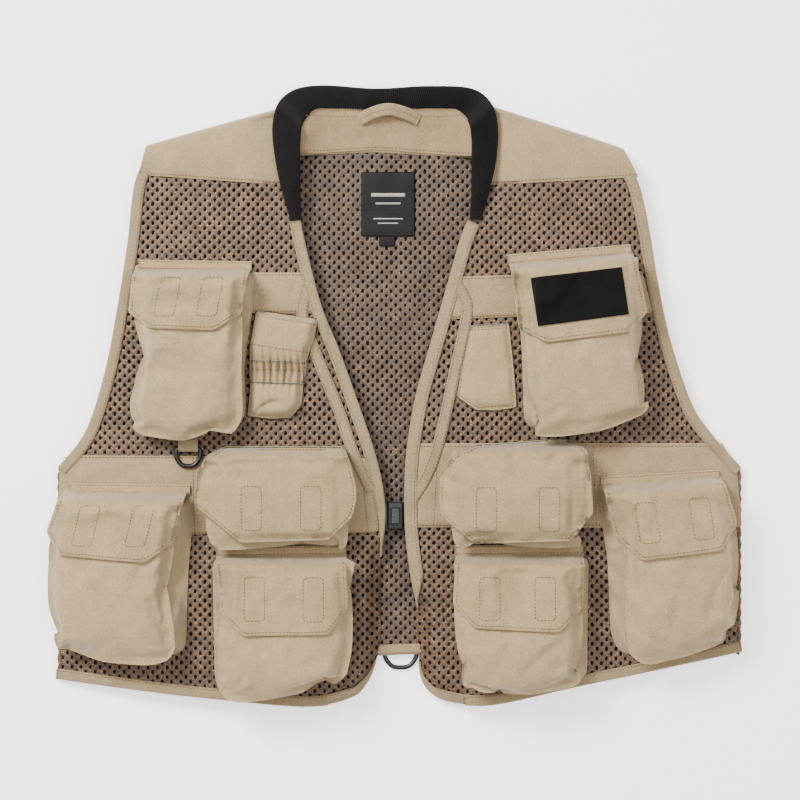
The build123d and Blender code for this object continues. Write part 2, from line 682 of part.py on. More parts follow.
frame_left = SHELL_LEFT - FRAME_LENGTH
frame_right = SHELL_LEFT - TONGUE_GAP
tongue = buckle_part(
    [
        block(frame_left, frame_right, rim, *FRAME_Z),
        block(SHELL_LEFT - TONGUE_PLATE, frame_right, rim, SHELL_BOTTOM, SHELL_TOP - TONGUE_GAP),
        block(frame_right - TONGUE_GAP, TONGUE_END, TONGUE_END, *TONGUE),
    ],
    [
        block(SHELL_LEFT - FRAME_EYE, SHELL_LEFT - TONGUE_PLATE, eye, 0, above),
        block(frame_left - CUT_PAST, SHELL_LEFT, eye, STRAP_Z - STRAP_SLOT, STRAP_Z + STRAP_SLOT),
    ],
)
save(tongue, "buckle_tongue")
button = buckle_part([block(button_left, button_right, button_half, BUTTON_BASE, BUTTON_TOP)], [])
save(button, "buckle_button")
strap_end = DRAPE_HEIGHT - STRAP / 2
left_run = [(SHELL_LEFT - SOCKET_BAR, STRAP_Z), (-STRAP_SAG, STRAP_Z)]
left_run += [(-STRAP_FOOT, strap_end), (-STRAP_END, strap_end)]
save(strap(left_run), "left_strap")
bar_z = (STRAP_BAR[0] + STRAP_BAR[1]) / 2
turn_z = (STRAP_BAR[1] - STRAP_BAR[0]) / 2 + CUT_PAST
right_run = [(STRAP_TAIL, bar_z - turn_z), (bar_left - 2, bar_z - turn_z), (bar_left - 2, bar_z + turn_z)]
right_run += [(STRAP_TAIL, bar_z + turn_z), (STRAP_FOOT, strap_end), (STRAP_END, strap_end)]
save(strap(right_run), "right_strap")
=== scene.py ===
import math

import bpy
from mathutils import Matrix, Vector, noise
from mathutils.geometry import delaunay_2d_cdt
from mathutils.bvhtree import BVHTree
from mathutils.kdtree import KDTree


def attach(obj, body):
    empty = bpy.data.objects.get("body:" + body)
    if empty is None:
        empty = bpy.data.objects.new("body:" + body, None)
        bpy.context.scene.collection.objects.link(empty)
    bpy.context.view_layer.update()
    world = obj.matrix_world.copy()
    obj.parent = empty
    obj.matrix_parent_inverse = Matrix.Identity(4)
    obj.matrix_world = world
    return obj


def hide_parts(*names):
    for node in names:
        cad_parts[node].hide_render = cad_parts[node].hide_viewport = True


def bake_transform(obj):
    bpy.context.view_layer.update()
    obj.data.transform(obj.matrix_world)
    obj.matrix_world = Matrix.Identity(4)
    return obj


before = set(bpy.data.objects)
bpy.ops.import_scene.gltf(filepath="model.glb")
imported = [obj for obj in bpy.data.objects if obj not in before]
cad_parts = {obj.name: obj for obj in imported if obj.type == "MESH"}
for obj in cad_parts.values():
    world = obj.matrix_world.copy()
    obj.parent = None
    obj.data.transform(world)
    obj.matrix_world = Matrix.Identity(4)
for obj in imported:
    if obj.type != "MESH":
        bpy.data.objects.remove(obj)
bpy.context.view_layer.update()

# Lengths in this script are millimetres about the vest's neck line, as in the part's source, and place()
# turns them into metres in the frame.
MM = 0.001
MIDDLE = (0.0, 4.0)
LEFT_FOLD = -298.0
RIGHT_FOLD = 304.0
FRONT_TOP = 17.2
SIDE_TOP = 6.5
KNEE = 150.0
SIDES = {-1: "left", 1: "right"}


# ---------------------------------------------------------------- curves and numbers


def clamp(value, low=0.0, high=1.0):
    return max(low, min(high, value))


def smooth(t):
    """Eases from 0 to 1."""
    t = clamp(t)
    return t * t * (3 - 2 * t)


def mix(a, b, t):
    return a + (b - a) * t


def bell(t):
    """1 at 0, falling away on both sides."""
    return math.exp(-(t**2))


def ripple(x, y, size, key=0.0):
    """Smooth noise from about -1 to 1 with features of the size given, in millimetres."""
    return noise.noise(Vector((x / size, y / size, key * 17.3 + 0.5)))


def catmull(points, step):
    """A smooth line through points, sampled about every step."""
    dense = []
    padded = [points[0], *points, points[-1]]
    for i in range(1, len(padded) - 2):
        a, b, c, d = (Vector(p) for p in padded[i - 1 : i + 3])
        count = max(1, round((c - b).length / step))
        for k in range(count):
            t = k / count
            cubic = -a + 3 * b - 3 * c + d
            square = 2 * a - 5 * b + 4 * c - d
            dense.append(0.5 * (2 * b + (c - a) * t + square * t * t + cubic * t**3))
    dense.append(Vector(points[-1]))
    return dense


def resample(line, step):
    """The same polyline with even steps."""
    gaps = [0.0]
    for a, b in zip(line, line[1:]):
        gaps.append(gaps[-1] + (b - a).length)
    count = max(1, round(gaps[-1] / step))
    out, i = [], 0
    for k in range(count + 1):
        at = gaps[-1] * k / count
        while i < len(line) - 2 and gaps[i + 1] < at:
            i += 1
        t = (at - gaps[i]) / max(gaps[i + 1] - gaps[i], 1e-9)
        out.append(line[i].lerp(line[i + 1], clamp(t)))
    return out


def heading(line, i):
    """Which way a line runs at one of its points."""
    return (line[min(i + 1, len(line) - 1)] - line[max(i - 1, 0)]).normalized()


def length_of(line):
    return sum((b - a).length for a, b in zip(line, line[1:]))


def side_shift(line, distance):
    """A flat polyline moved to its left by distance, or by distance(share along it)."""
    out = []
    for i, p in enumerate(line):
        run = heading(line, i)
        reach = distance(i / (len(line) - 1)) if callable(distance) else distance
        out.append(Vector((p.x - run.y * reach, p.y + run.x * reach)))
    return out


def inside(point, outline):
    """Whether a flat point is inside a closed outline."""
    x, y = point
    hit = False
    j = len(outline) - 1
    for i, (xi, yi) in enumerate(outline):
        xj, yj = outline[j]
        if (yi > y) != (yj > y) and x < (xj - xi) * (y - yi) / (yj - yi) + xi:
            hit = not hit
        j = i
    return hit


def nearest(line):
    """A lookup that finds the nearest of some flat points."""
    tree = KDTree(len(line))
    for number, spot in enumerate(line):
        tree.insert((spot.x, spot.y, 0), number)
    tree.balance()
    return tree


def filled(ring, step, clear=0.6):
    """Points and triangles that fill a closed outline, its own points first, and a lookup of its points.
    The others stay clear of it by a share of step."""
    tree = nearest(ring)
    bound = [tuple(p) for p in ring]
    spots = list(ring)
    y = min(p.y for p in ring) + step / 2
    odd = False
    while y < max(p.y for p in ring):
        x = min(p.x for p in ring) + (step / 2 if odd else step)
        while x < max(p.x for p in ring):
            if tree.find((x, y, 0))[2] > step * clear and inside((x, y), bound):
                spots.append(Vector((x, y)))
            x += step
        y += step * 0.87
        odd = not odd
    edges = [(i, (i + 1) % len(ring)) for i in range(len(ring))]
    points, _, faces, _, _, _ = delaunay_2d_cdt(spots, edges, [], 1, 1e-6)
    return points, faces, tree


# ---------------------------------------------------------------- the vest's lines

LEFT_ARMHOLE = [(-215, 219), (-229, 192), (-236, 136), (-245, 80), (-256, 24), (-273, -28), (-298, -60)]
RIGHT_ARMHOLE = [(194, 219), (212, 192), (222, 150), (229, 108), (241, 52), (260, -4), (279, -32), (304, -60)]
LEFT_EDGE = [(-84, 158), (-79, 134), (-66, 84), (-50, 44), (-30, -12), (-18, -48), (-11, -80), (-9.5, -105)]
LEFT_EDGE += [(-13, -138), (-14.5, -175), (-14, -208), (-18, -232), (-26, -250), (-40, -262.5)]
LEFT_EDGE += [(-79, -269.5), (-161, -262.5), (-221, -256), (-298, -246)]
RIGHT_EDGE = [(63, 158), (56, 140), (47, 108), (31, 52), (17, 2), (9, -48), (7.5, -90), (8.5, -120)]
RIGHT_EDGE += [(13, -155), (19, -186), (20, -215), (22, -245), (36, -262), (66, -268.5)]
RIGHT_EDGE += [(97, -266), (159, -252), (227, -238), (304, -222)]
BACK_HEM = [(-298, -246), (-150, -236), (4, -224.4), (150, -225), (304, -222)]
BINDING = 9.5

EDGES = {-1: catmull(LEFT_EDGE, 3), 1: catmull(RIGHT_EDGE, 3)}
edge_tree = nearest(EDGES[-1] + EDGES[1])

# The tan tape turns under below these heights, and the mesh rolls over the front edge there.
TURN_UNDER = {-1: -140.0, 1: -185.0}


def drape(x, y):
    """The height of the front's cloth: level in the middle, round at the sides, rolled at the open edge."""
    side = -1 if x < 0 else 1
    fold = LEFT_FOLD if x < 0 else RIGHT_FOLD
    t = clamp((abs(x) - KNEE) / (abs(fold) - KNEE))
    z = SIDE_TOP + (FRONT_TOP - SIDE_TOP) * (1 - t * t)
    z += 1.3 * ripple(x, y, 46, 1) + 0.8 * ripple(x, y + 0.6 * x, 17, 2)
    if abs(x) < 60 and y < 150:
        near = edge_tree.find((x, y, 0))[2]
        z -= 1.6 * (1 - smooth(near / 14))
        low = smooth((TURN_UNDER[side] + 22 - y) / 40)
        z -= low * 8.5 * (1 - smooth(near / 17)) ** 1.5
    return z


def back(x, y):
    """The height of the back's cloth."""
    z = 1.7 + 1.6 * (0.5 + 0.5 * ripple(x, y, 60, 5)) + 0.8 * ripple(x, y - 0.5 * x, 19, 6)
    ring = 1 - smooth((Vector((x - 4, y + 219)).length - 12) / 34)
    return z + 2.6 * ring


# ---------------------------------------------------------------- making objects


def place(x, y, z):
    return ((x - MIDDLE[0]) * MM, (y - MIDDLE[1]) * MM, z * MM)


def show(name, data):
    """Adds an object with this mesh, lamp or camera to the scene."""
    holder = bpy.data.objects.new(name, data)
    bpy.context.scene.collection.objects.link(holder)
    return holder


def make(name, points, faces, materials, tags=None):
    """A mesh object from millimetre points; tags is each face's material."""
    mesh = bpy.data.meshes.new(name)
    mesh.from_pydata([place(*p) for p in points], [], faces)
    for material in materials:
        mesh.materials.append(material)
    if tags:
        mesh.polygons.foreach_set("material_index", tags)
    mesh.polygons.foreach_set("use_smooth", [True] * len(faces))
    mesh.validate()
    mesh.update()
    return show(name, mesh)


class Build:
    """Collects points and faces for one piece, with a material number for each face."""

    def __init__(self):
        self.points, self.faces, self.tags = [], [], []

    def point(self, p):
        self.points.append(tuple(p))
        return len(self.points) - 1

    def face(self, corners, tag=0):
        self.faces.append(tuple(corners))
        self.tags.append(tag)

    def join(self, a, b, tag=0, ring=True):
        """Joins two rows of points with four-sided faces."""
        for j in range(len(a) if ring else len(a) - 1):
            k = (j + 1) % len(a)
            self.face((a[j], a[k], b[k], b[j]), tag)

    def grid(self, rows, tag=0, ring=False):
        """Joins rows of points into a surface; ring closes each row on itself."""
        numbers = [[self.point(p) for p in row] for row in rows]
        for a, b in zip(numbers, numbers[1:]):
            self.join(a, b, tag, ring)
        return numbers

    def bar(self, rows, turned=False):
        """Joins rings of points into a bar with closed ends; turned says that the rings run the other way round."""
        numbers = self.grid(rows, ring=True)
        step = -1 if turned else 1
        self.face(numbers[0][::step])
        self.face(numbers[-1][::-step])

    def done(self, name, materials):
        return make(name, self.points, self.faces, materials, self.tags)


STITCH = 2.3
STITCH_GAP = 0.75
THREAD = 0.34


def stitches(build, line, height, tag=1):
    """Small stitches along a flat line; height gives the cloth's top. Each is a low closed capsule."""
    line = resample(line, STITCH + STITCH_GAP)
    for a, b in zip(line, line[1:]):
        run = (b - a).normalized()
        side = Vector((-run.y, run.x)) * THREAD
        a = a + run * STITCH_GAP / 2
        b = b - run * STITCH_GAP / 2
        rows = []
        for along, share, lift in ((0, 0.25, -0.25), (0.22, 1, 0.16), (0.78, 1, 0.16), (1, 0.25, -0.25)):
            spot = a.lerp(b, along)
            z = height(spot.x, spot.y)
            row = []
            for u, w in ((-1, -0.3), (-0.6, 0.25), (0.6, 0.25), (1, -0.3)):
                row.append((spot.x + side.x * u * share, spot.y + side.y * u * share, z + lift + w))
            rows.append(row)
        build.grid(rows, tag)


def tape_rows(line, width, height, thick, edge=1.3, across=6):
    """Rows of points round a flat tape's closed section, along a line; width may vary with its share."""
    rows = []
    for i, p in enumerate(line):
        share = i / (len(line) - 1)
        half = (width(share) if callable(width) else width) / 2
        run = heading(line, i)
        left = Vector((-run.y, run.x))
        row = []
        section = [(-half, 0.0), (-half - 0.25, thick * 0.45), (-half + edge * 0.5, thick * 0.95)]
        for k in range(across + 1):
            u = mix(-half + edge, half - edge, k / across)
            section.append((u, thick * (1 + 0.12 * math.cos(math.pi * u / (2 * half)))))
        section += [(half - edge * 0.5, thick * 0.95), (half + 0.25, thick * 0.45), (half, 0.0)]
        for u, w in section:
            q = p + left * u
            row.append((q.x, q.y, height(q.x, q.y) + w))
        rows.append(row)
    return rows


def tape(name, line, width, height, thick, materials, seams=(), step=3.0, lift=0.0):
    """A sewn tape: a closed strip along a line with rows of stitches at the offsets given."""
    line = resample(line, step)
    build = Build()

    def ground(x, y):
        return height(x, y) + lift

    build.bar(tape_rows(line, width, ground, thick))
    for offset in seams:
        stitches(build, side_shift(line, offset), lambda x, y: ground(x, y) + thick * 1.05)
    return build.done(name, materials)


def cloth(name, outline, height, materials, thick=0.9, step=5.0, seams=(), lift=0.0):
    """A piece of cloth cut to an outline and laid on a height, with a turned edge and rows of stitches."""
    outline = [Vector(p) for p in outline]
    ring = resample(outline + [outline[0]], step)[:-1]
    middle = Vector((sum(p.x for p in ring) / len(ring), sum(p.y for p in ring) / len(ring)))
    flat_points, faces, tree = filled(ring, step, 0.55)
    build = Build()
    for p in flat_points:
        near = tree.find((p.x, p.y, 0))[2]
        round_off = thick * 0.5 * (1 - smooth(near / 2.2))
        build.point((p.x, p.y, height(p.x, p.y) + lift + thick - round_off))
    for face in faces:
        build.face(face)
    skirt = []
    for p in ring:
        out = (p - middle).normalized() * 0.3
        skirt.append(build.point((p.x + out.x, p.y + out.y, height(p.x, p.y) + lift - 0.2)))
    build.join(range(len(ring)), skirt)
    for line in seams:
        stitches(build, [Vector(p) for p in line], lambda x, y: height(x, y) + lift + thick)
    return build.done(name, materials)


# ---------------------------------------------------------------- materials


BLOTCH = 70.0
FINE_SHARE = 0.7


def srgb(r, g, b):
    """A linear colour from the 0 to 255 values an eye would name it by."""
    out = []
    for c in (r, g, b):
        c /= 255
        out.append(c / 12.92 if c <= 0.04045 else ((c + 0.055) / 1.055) ** 2.4)
    return (*out, 1.0)


def material(name, dark, light, rough=0.85, spot=900.0, grain=0.25, weave=0.0, pitch=1300.0, sheen=0.25,
             gloss=0.2, painted_glint=None):
    """A procedural finish: two tones, as srgb() takes them, mixed by broad and fine noise. Where painted_glint is
    given, the lightest specks are a painted highlight in that colour, and there's a woven bump where weave is over
    0."""
    made = bpy.data.materials.new(name)
    made.use_nodes = True
    nodes, links = made.node_tree.nodes, made.node_tree.links

    def node(kind, values, feeds):
        """A node with these input values, fed by these outputs."""
        new = nodes.new("ShaderNode" + kind)
        for key, value in values.items():
            new.inputs[key].default_value = value
        for key, output in feeds.items():
            links.new(output, new.inputs[key])
        return new

    shader = nodes["Principled BSDF"]
    shader.inputs["Roughness"].default_value = rough
    shader.inputs["Specular IOR Level"].default_value = gloss
    if sheen:
        shader.inputs["Sheen Weight"].default_value = sheen
        shader.inputs["Sheen Roughness"].default_value = 0.5
    where = node("TexCoord", {}, {}).outputs["Object"]
    broad = node("TexNoise", {"Scale": BLOTCH, "Detail": 4.0}, {"Vector": where})
    fine = node("TexNoise", {"Scale": spot, "Detail": 2.0}, {"Vector": where}).outputs["Fac"]
    scaled = node("Math", {1: 1 - FINE_SHARE}, {0: broad.outputs["Fac"]})
    scaled.operation = "MULTIPLY"
    both = node("Math", {1: FINE_SHARE}, {0: fine, 2: scaled.outputs[0]})
    both.operation = "MULTIPLY_ADD"
    ramp = node("ValToRGB", {}, {"Fac": both.outputs[0]})
    stops = ramp.color_ramp.elements
    stops[0].position, stops[1].position = 0.36, 0.64
    stops[0].color, stops[1].color = srgb(*dark), srgb(*light)
    if painted_glint:
        stops.new(0.7).color = srgb(*painted_glint)
    links.new(ramp.outputs["Color"], shader.inputs["Base Color"])
    bump = node("Bump", {"Strength": grain, "Distance": 0.0004}, {"Height": fine})
    if weave:
        cross = node("Math", {}, {})
        cross.operation = "MAXIMUM"
        for slot, direction in enumerate("XY"):
            wave = node("TexWave", {"Scale": pitch / 20, "Distortion": 0.8}, {"Vector": where})
            wave.bands_direction = direction
            links.new(wave.outputs["Fac"], cross.inputs[slot])
        bump = node("Bump", {"Strength": weave, "Distance": 0.00025},
                    {"Height": cross.outputs[0], "Normal": bump.outputs["Normal"]})
    links.new(bump.outputs["Normal"], shader.inputs["Normal"])
    return made


TAN = material("tan_poplin", (137, 117, 83), (159, 139, 104), weave=0.5)
FLAP_TAN = material("flap_poplin", (133, 113, 79), (155, 135, 100), weave=0.5)
YOKE_TAN = material("yoke_poplin", (131, 112, 80), (153, 134, 100), weave=0.5)
TAPE_TAN = material("tape_twill", (121, 103, 74), (143, 125, 94), weave=0.6, pitch=1700)
# The facing's tan is the poplin painted darker, as painted shade from the collar's shadow.
SHADED_FACING_TAN = material("facing_poplin_painted_shade", (122, 101, 71), (144, 123, 92), weave=0.5)
BAND_TAN = material("band_poplin", (130, 109, 79), (152, 131, 100), weave=0.5)
ELASTIC_TAN = material("elastic", (136, 114, 82), (158, 136, 102), weave=0.8, pitch=900)
WEBBING = material("webbing", (136, 115, 85), (158, 137, 106), weave=0.9, pitch=1000)
THREAD_TAN = material("thread", (88, 68, 45), (114, 92, 65), rough=0.6, sheen=0)
# The knit's lightest specks are painted highlights on the yarn.
KNIT = material("mesh_knit", (36, 22, 9), (106, 77, 46), spot=800, grain=1.0, sheen=0.12, rough=0.5,
                gloss=0.5, painted_glint=(206, 172, 138))
# The back's knit is the fronts' knit painted darker, as painted shade where it lies low beneath the fronts; its
# painted highlight is dimmer too.
SHADED_BACK_KNIT = material("back_knit_painted_shade", (28, 17, 7), (88, 63, 36), spot=800, grain=1.0, sheen=0.1, rough=0.5,
                     gloss=0.5, painted_glint=(182, 150, 118))
# This near-black colour closes the knit's holes as painted shade, so they look dark instead of showing what lies
# beneath.
PAINTED_HOLE_SHADE = material("painted_hole_shade", (10, 7, 5), (26, 19, 14), spot=900, sheen=0, gloss=0.05)
RIB = material("rib_knit_cloth", (8, 7, 7), (24, 21, 21), spot=1500, grain=0.5, sheen=0.04, gloss=0.12)
LABEL = material("label_satin", (15, 14, 15), (24, 22, 23), rough=0.6, weave=0.5, pitch=2200, sheen=0,
                 gloss=0.15)
LABEL_MARK = material("label_mark", (130, 124, 116), (150, 144, 136), rough=0.6)
PILE = material("pile", (3, 3, 3), (13, 11, 11), spot=1200, grain=1.0, sheen=0.04, gloss=0.1)
HOOK_BROWN = material("hook_cloth", (66, 55, 42), (100, 86, 69), spot=1800, grain=0.9)
LOOP_BROWN = material("loop_cloth", (78, 65, 50), (116, 100, 81), spot=1600, grain=0.8, sheen=0.4)
PLASTIC = material("buckle_shell", (8, 8, 9), (14, 14, 15), rough=0.38, grain=0.04, sheen=0, gloss=0.4)
BUTTON = material("button_shell", (30, 30, 31), (52, 51, 50), rough=0.36, grain=0.04, sheen=0, gloss=0.4)
RING = material("ring_shell", (8, 8, 8), (15, 14, 14), rough=0.34, grain=0.03, sheen=0, gloss=0.4)
FLOOR = material("paper", (246, 246, 246), (250, 250, 250), rough=0.9, grain=0.0, sheen=0)
floor_inputs = FLOOR.node_tree.nodes["Principled BSDF"].inputs
floor_inputs["Emission Color"].default_value = (1.0, 1.0, 1.0, 1.0)
floor_inputs["Emission Strength"].default_value = 1.0
TAPE_CLOTH = [TAPE_TAN, THREAD_TAN]


# ---------------------------------------------------------------- mesh cloth

# The knit's pitch, half a hole's width and length, and the rows and columns that cover the vest.
HOLE = 4.2
HOLE_HALF = (1.42, 2.0)
HOLE_ROWS, HOLE_COLUMNS = range(-68, 64), range(-74, 76)


def mesh_cloth(name, outline, height, warp_key, drop, shaded_holes_below, knit):
    """An open knit: rows of upright oval holes, each row half a pitch along, trimmed to an outline and
    turned down by up to drop at it. Below shaded_holes_below a near-black face of painted shade closes each hole."""
    build = Build()
    known = {}
    tree = nearest(resample([Vector(p) for p in [*outline, outline[0]]], 1.5))

    def settle(x, y, lift):
        near, _, gap = tree.find((x, y, 0))
        if gap > 10 or inside((x, y), outline):
            return (x, y, height(x, y) + lift)
        return (near.x, near.y, height(near.x, near.y) + lift - min(gap, drop))

    def keep(x, y):
        return inside((x, y), outline) or tree.find((x, y, 0))[2] < 4.3

    def warped(u, v):
        return (
            u + 0.8 * ripple(u, v, 55, warp_key) + 0.25 * ripple(u, v, 14, warp_key + 1),
            v + 0.8 * ripple(u, v, 55, warp_key + 2) + 0.25 * ripple(u, v, 14, warp_key + 3),
        )

    def corner(u, v, lift):
        key = (round(u * 100), round(v * 100))
        if key not in known:
            x, y = warped(u, v)
            known[key] = build.point(settle(x, y, lift + 0.3 * ripple(u, v, 3.1, 4)))
        return known[key]

    turns = [2 * math.pi * k / 8 for k in range(8)]
    rim = [(HOLE_HALF[0] * math.cos(turn), HOLE_HALF[1] * math.sin(turn)) for turn in turns]
    for j in HOLE_ROWS:
        for i in HOLE_COLUMNS:
            if (i + j) % 2:
                continue
            u, v = i * HOLE, j * HOLE
            if not keep(*warped(u, v)):
                continue
            outer = []
            for dx, dy, lift in (
                (1, 0, 0.65), (0.5, 0.5, 0.1), (0, 1, 0.65), (-0.5, 0.5, 0.1),
                (-1, 0, 0.65), (-0.5, -0.5, 0.1), (0, -1, 0.65), (0.5, -0.5, 0.1),
            ):
                outer.append(corner(u + dx * HOLE, v + dy * HOLE, lift))
            grow = 0.95 + 0.2 * ripple(u, v, 9, 9) + 0.14 * ripple(u, v, 60, warp_key)
            inner = []
            for a, b in rim:
                inner.append(build.point(settle(*warped(u + a * grow, v + b * grow), -0.6)))
            build.join(outer, inner)
            # A face of painted shade closes the hole here, so it looks dark instead of showing the floor or cloth
            # beneath.
            if v < shaded_holes_below:
                build.face(inner, 1)
    return build.done(name, [knit, PAINTED_HOLE_SHADE])


def stay(piece, body, slot, *nodes):
    """Hides the parts that a piece stands in for and attaches it to the body it rides on; slot is not used."""
    if nodes:
        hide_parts(*nodes)
    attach(piece, body)
    return piece


def polygon_of(*lines):
    return [tuple(p[:2]) for line in lines for p in line]


left_outline = polygon_of(
    catmull(LEFT_ARMHOLE, 4)[::-1],
    [(-219.6, 199), (-102.4, 192), (-93, 182), (-86, 158)],
    EDGES[-1][1:-1],
    [(-298, -240), (-298, -60)],
)
right_outline = polygon_of(
    catmull(RIGHT_ARMHOLE, 4)[::-1],
    [(200, 200), (90, 192), (77, 182), (66, 158)],
    EDGES[1][1:-1],
    [(304, -216), (304, -60)],
)


def rounded(points, radius, step=2.5):
    """A closed outline with its corners rounded."""
    points = [Vector(p) for p in points]
    out = []
    for i, p in enumerate(points):
        a = points[i - 1] - p
        b = points[(i + 1) % len(points)] - p
        reach = min(radius, a.length * 0.45, b.length * 0.45)
        start = p + a.normalized() * reach
        end = p + b.normalized() * reach
        for k in range(5):
            t = k / 4
            out.append(start * (1 - t) ** 2 + p * 2 * t * (1 - t) + end * t * t)
    return resample(out + [out[0]], step)[:-1]


left_mesh = mesh_cloth("left_front_cloth", left_outline, drape, 11, 5.0, -218, KNIT)
right_mesh = mesh_cloth("right_front_cloth", right_outline, drape, 15, 5.0, -214, KNIT)

back_outline = polygon_of(
    [(-82, 217), (-208, 200)],
    catmull(LEFT_ARMHOLE, 4)[1:],
    [(-297, -70), (-297, -243)],
    catmull(BACK_HEM, 6),
    [(303, -226), (303, -70)],
    catmull(RIGHT_ARMHOLE, 4)[::-1][:-1],
    [(190, 198), (66, 215), (-18, 221)],
)
back_mesh = mesh_cloth("back_cloth", back_outline, back, 21, 0.8, 400, SHADED_BACK_KNIT)


def side_fold(name, x, low, high):
    """The turn of the knit at a side, where the front runs round into the back."""
    build = Build()
    rows = []
    step = 2.5
    for k in range(int((high - low) / step) + 1):
        y = low + step * k
        top = drape(x, y) + 0.7
        ends = smooth(min(y - low, high - y) / 6)
        half = (top - 0.5) / 2 * (0.55 + 0.45 * ends)
        wide = 2.3 + 0.5 * math.sin(y * math.pi / 5)
        turns = [math.tau * i / 14 for i in range(14)]
        rows.append([(x + wide * math.cos(turn), y, 0.5 + half + half * math.sin(turn)) for turn in turns])
    build.bar(rows)
    return build.done(name, [KNIT])


stay(side_fold("left_side_fold", LEFT_FOLD + 1.5, -246, -62), "vest", "mesh")
stay(side_fold("right_side_fold", RIGHT_FOLD - 1.5, -222, -62), "vest", "mesh")
stay(left_mesh, "vest", "mesh", "left_front_mesh")
stay(right_mesh, "vest", "mesh", "right_front_mesh")
stay(back_mesh, "vest", "mesh", "back_mesh")


# ---------------------------------------------------------------- edge tapes


def tape_side(side):
    """The front tape of one side: whole along the chest, turning under to a point at the hip."""
    edge = EDGES[side]
    turn = TURN_UNDER[side]
    top = resample([p for i, p in enumerate(edge) if p.y > turn and i < len(edge) * 0.6], 3)
    length = length_of(top)

    def width(share):
        left = (1 - share) * length
        return mix(1.0, BINDING + (1.5 if side > 0 else 0), smooth(left / (56 if side < 0 else 34)))

    def offset(share):
        return side * width(share) / 2

    line = side_shift(top, offset)
    piece = tape(f"{SIDES[side]}_front_tape", line, width, drape, 1.9, TAPE_CLOTH, seams=(side * 3.2,), lift=1.0)
    stay(piece, "vest", "binding_tape", f"{SIDES[side]}_front_binding")


def hem_tape(side):
    """The hem's tape, round the curled corner and out to the side."""
    edge = EDGES[side]
    low = [p for i, p in enumerate(edge) if i > len(edge) * 0.5 and p.y < -228]
    low = [p for p in low if abs(p.x) < (297 if side < 0 else 302)]
    low.append(Vector((side * (300 if side < 0 else 305.5), -246 if side < 0 else -221.5)))
    low = resample(low, 3)
    length = length_of(low)

    def width(share):
        return mix(1.5, 9.0, smooth(share * length / 48))

    line = side_shift(low, lambda share: side * width(share) / 2)
    piece = tape(f"{SIDES[side]}_hem_tape", line, width, drape, 1.7, TAPE_CLOTH, seams=(side * 3.1,), lift=0.4)
    stay(piece, "vest", "binding_tape")


for make_tape in (tape_side, hem_tape):
    for side in SIDES:
        make_tape(side)
stay(
    tape("back_hem_tape", side_shift(catmull(BACK_HEM, 4), 4.4), 9.0, back, 1.4,
         TAPE_CLOTH, seams=(-3.0,), lift=0.3),
    "vest", "binding_tape", "back_hem_binding",
)
for side, curve in ((-1, LEFT_ARMHOLE), (1, RIGHT_ARMHOLE)):
    name = SIDES[side]
    line = side_shift(catmull(curve, 3), -side * 4.2)
    rim = tape(f"{name}_armhole_tape", line, BINDING, drape, 2.0, TAPE_CLOTH, seams=(-side * 3.2,), lift=0.4)
    stay(rim, "vest", "binding_tape", f"{name}_armhole_binding")
    rim = tape(f"{name}_armhole_tape_back", line, BINDING, back, 1.8, TAPE_CLOTH, lift=0.2)
    stay(rim, "vest", "binding_tape")

LEFT_TAPE = [(-77, 100), (-80.5, 91), (-82.5, 76), (-78, 60), (-71, 42), (-50, -10), (-37, -48), (-22, -80)]
RIGHT_TAPE = [(50, 106), (60, 91), (62, 74), (51, 22), (38, -36), (27.5, -66), (14, -88)]
for side, curve in ((-1, LEFT_TAPE), (1, RIGHT_TAPE)):
    name = SIDES[side]
    strip = tape(f"{name}_gear_strip", catmull(curve, 3), 9.6, drape, 1.3, TAPE_CLOTH, seams=(-3.6, 3.6), lift=1.2)
    stay(strip, "vest", "tan_webbing", f"{name}_gear_tape")


# ---------------------------------------------------------------- bands across the front


def between(edge, low, high, inset):
    """The part of a front edge between two heights, moved into the front."""
    part = [p for i, p in enumerate(edge) if low <= p.y <= high and i < len(edge) * 0.6]
    return [(p.x + inset, p.y) for p in part]


BANDS = {
    "left_waist": ([(-299, -119), (-296, -58), (-289, -48.5)] + between(EDGES[-1], -117, -50, -5),
                   [[(-296, -50.5), (-24, -50.5)], [(-297, -117), (-16, -117)], [(-177, -118), (-178.5, -50)],
                    [(-32, -50), (-24, -117)]]),
    "right_waist": ([(13, -112)] + between(EDGES[1], -110, -40, 5)[::-1]
                    + [(17, -38), (287, -38), (300, -58), (305, -112)],
                    [[(20, -40.5), (287, -40.5)], [(16, -110), (302, -110)], [(176, -110), (173, -40)],
                     [(33, -110), (37, -42)]]),
    "left_chest": ([(-243, 77), (-239, 112), (-82, 112), (-72, 76)],
                   [[(-238, 110), (-80, 110)], [(-242, 79), (-72, 78)]]),
    "right_chest": ([(44, 71), (54, 108.5), (216, 113), (226, 77)],
                    [[(56, 106.5), (216, 111)], [(48, 73), (224, 79)]]),
}
for name, (outline, seams) in BANDS.items():
    piece = cloth(f"{name}_cloth", outline, drape, [BAND_TAN, THREAD_TAN], seams=seams, lift=0.5)
    stay(piece, "vest", "band_cloth", f"{name}_band")


# ---------------------------------------------------------------- yokes, facing, collar


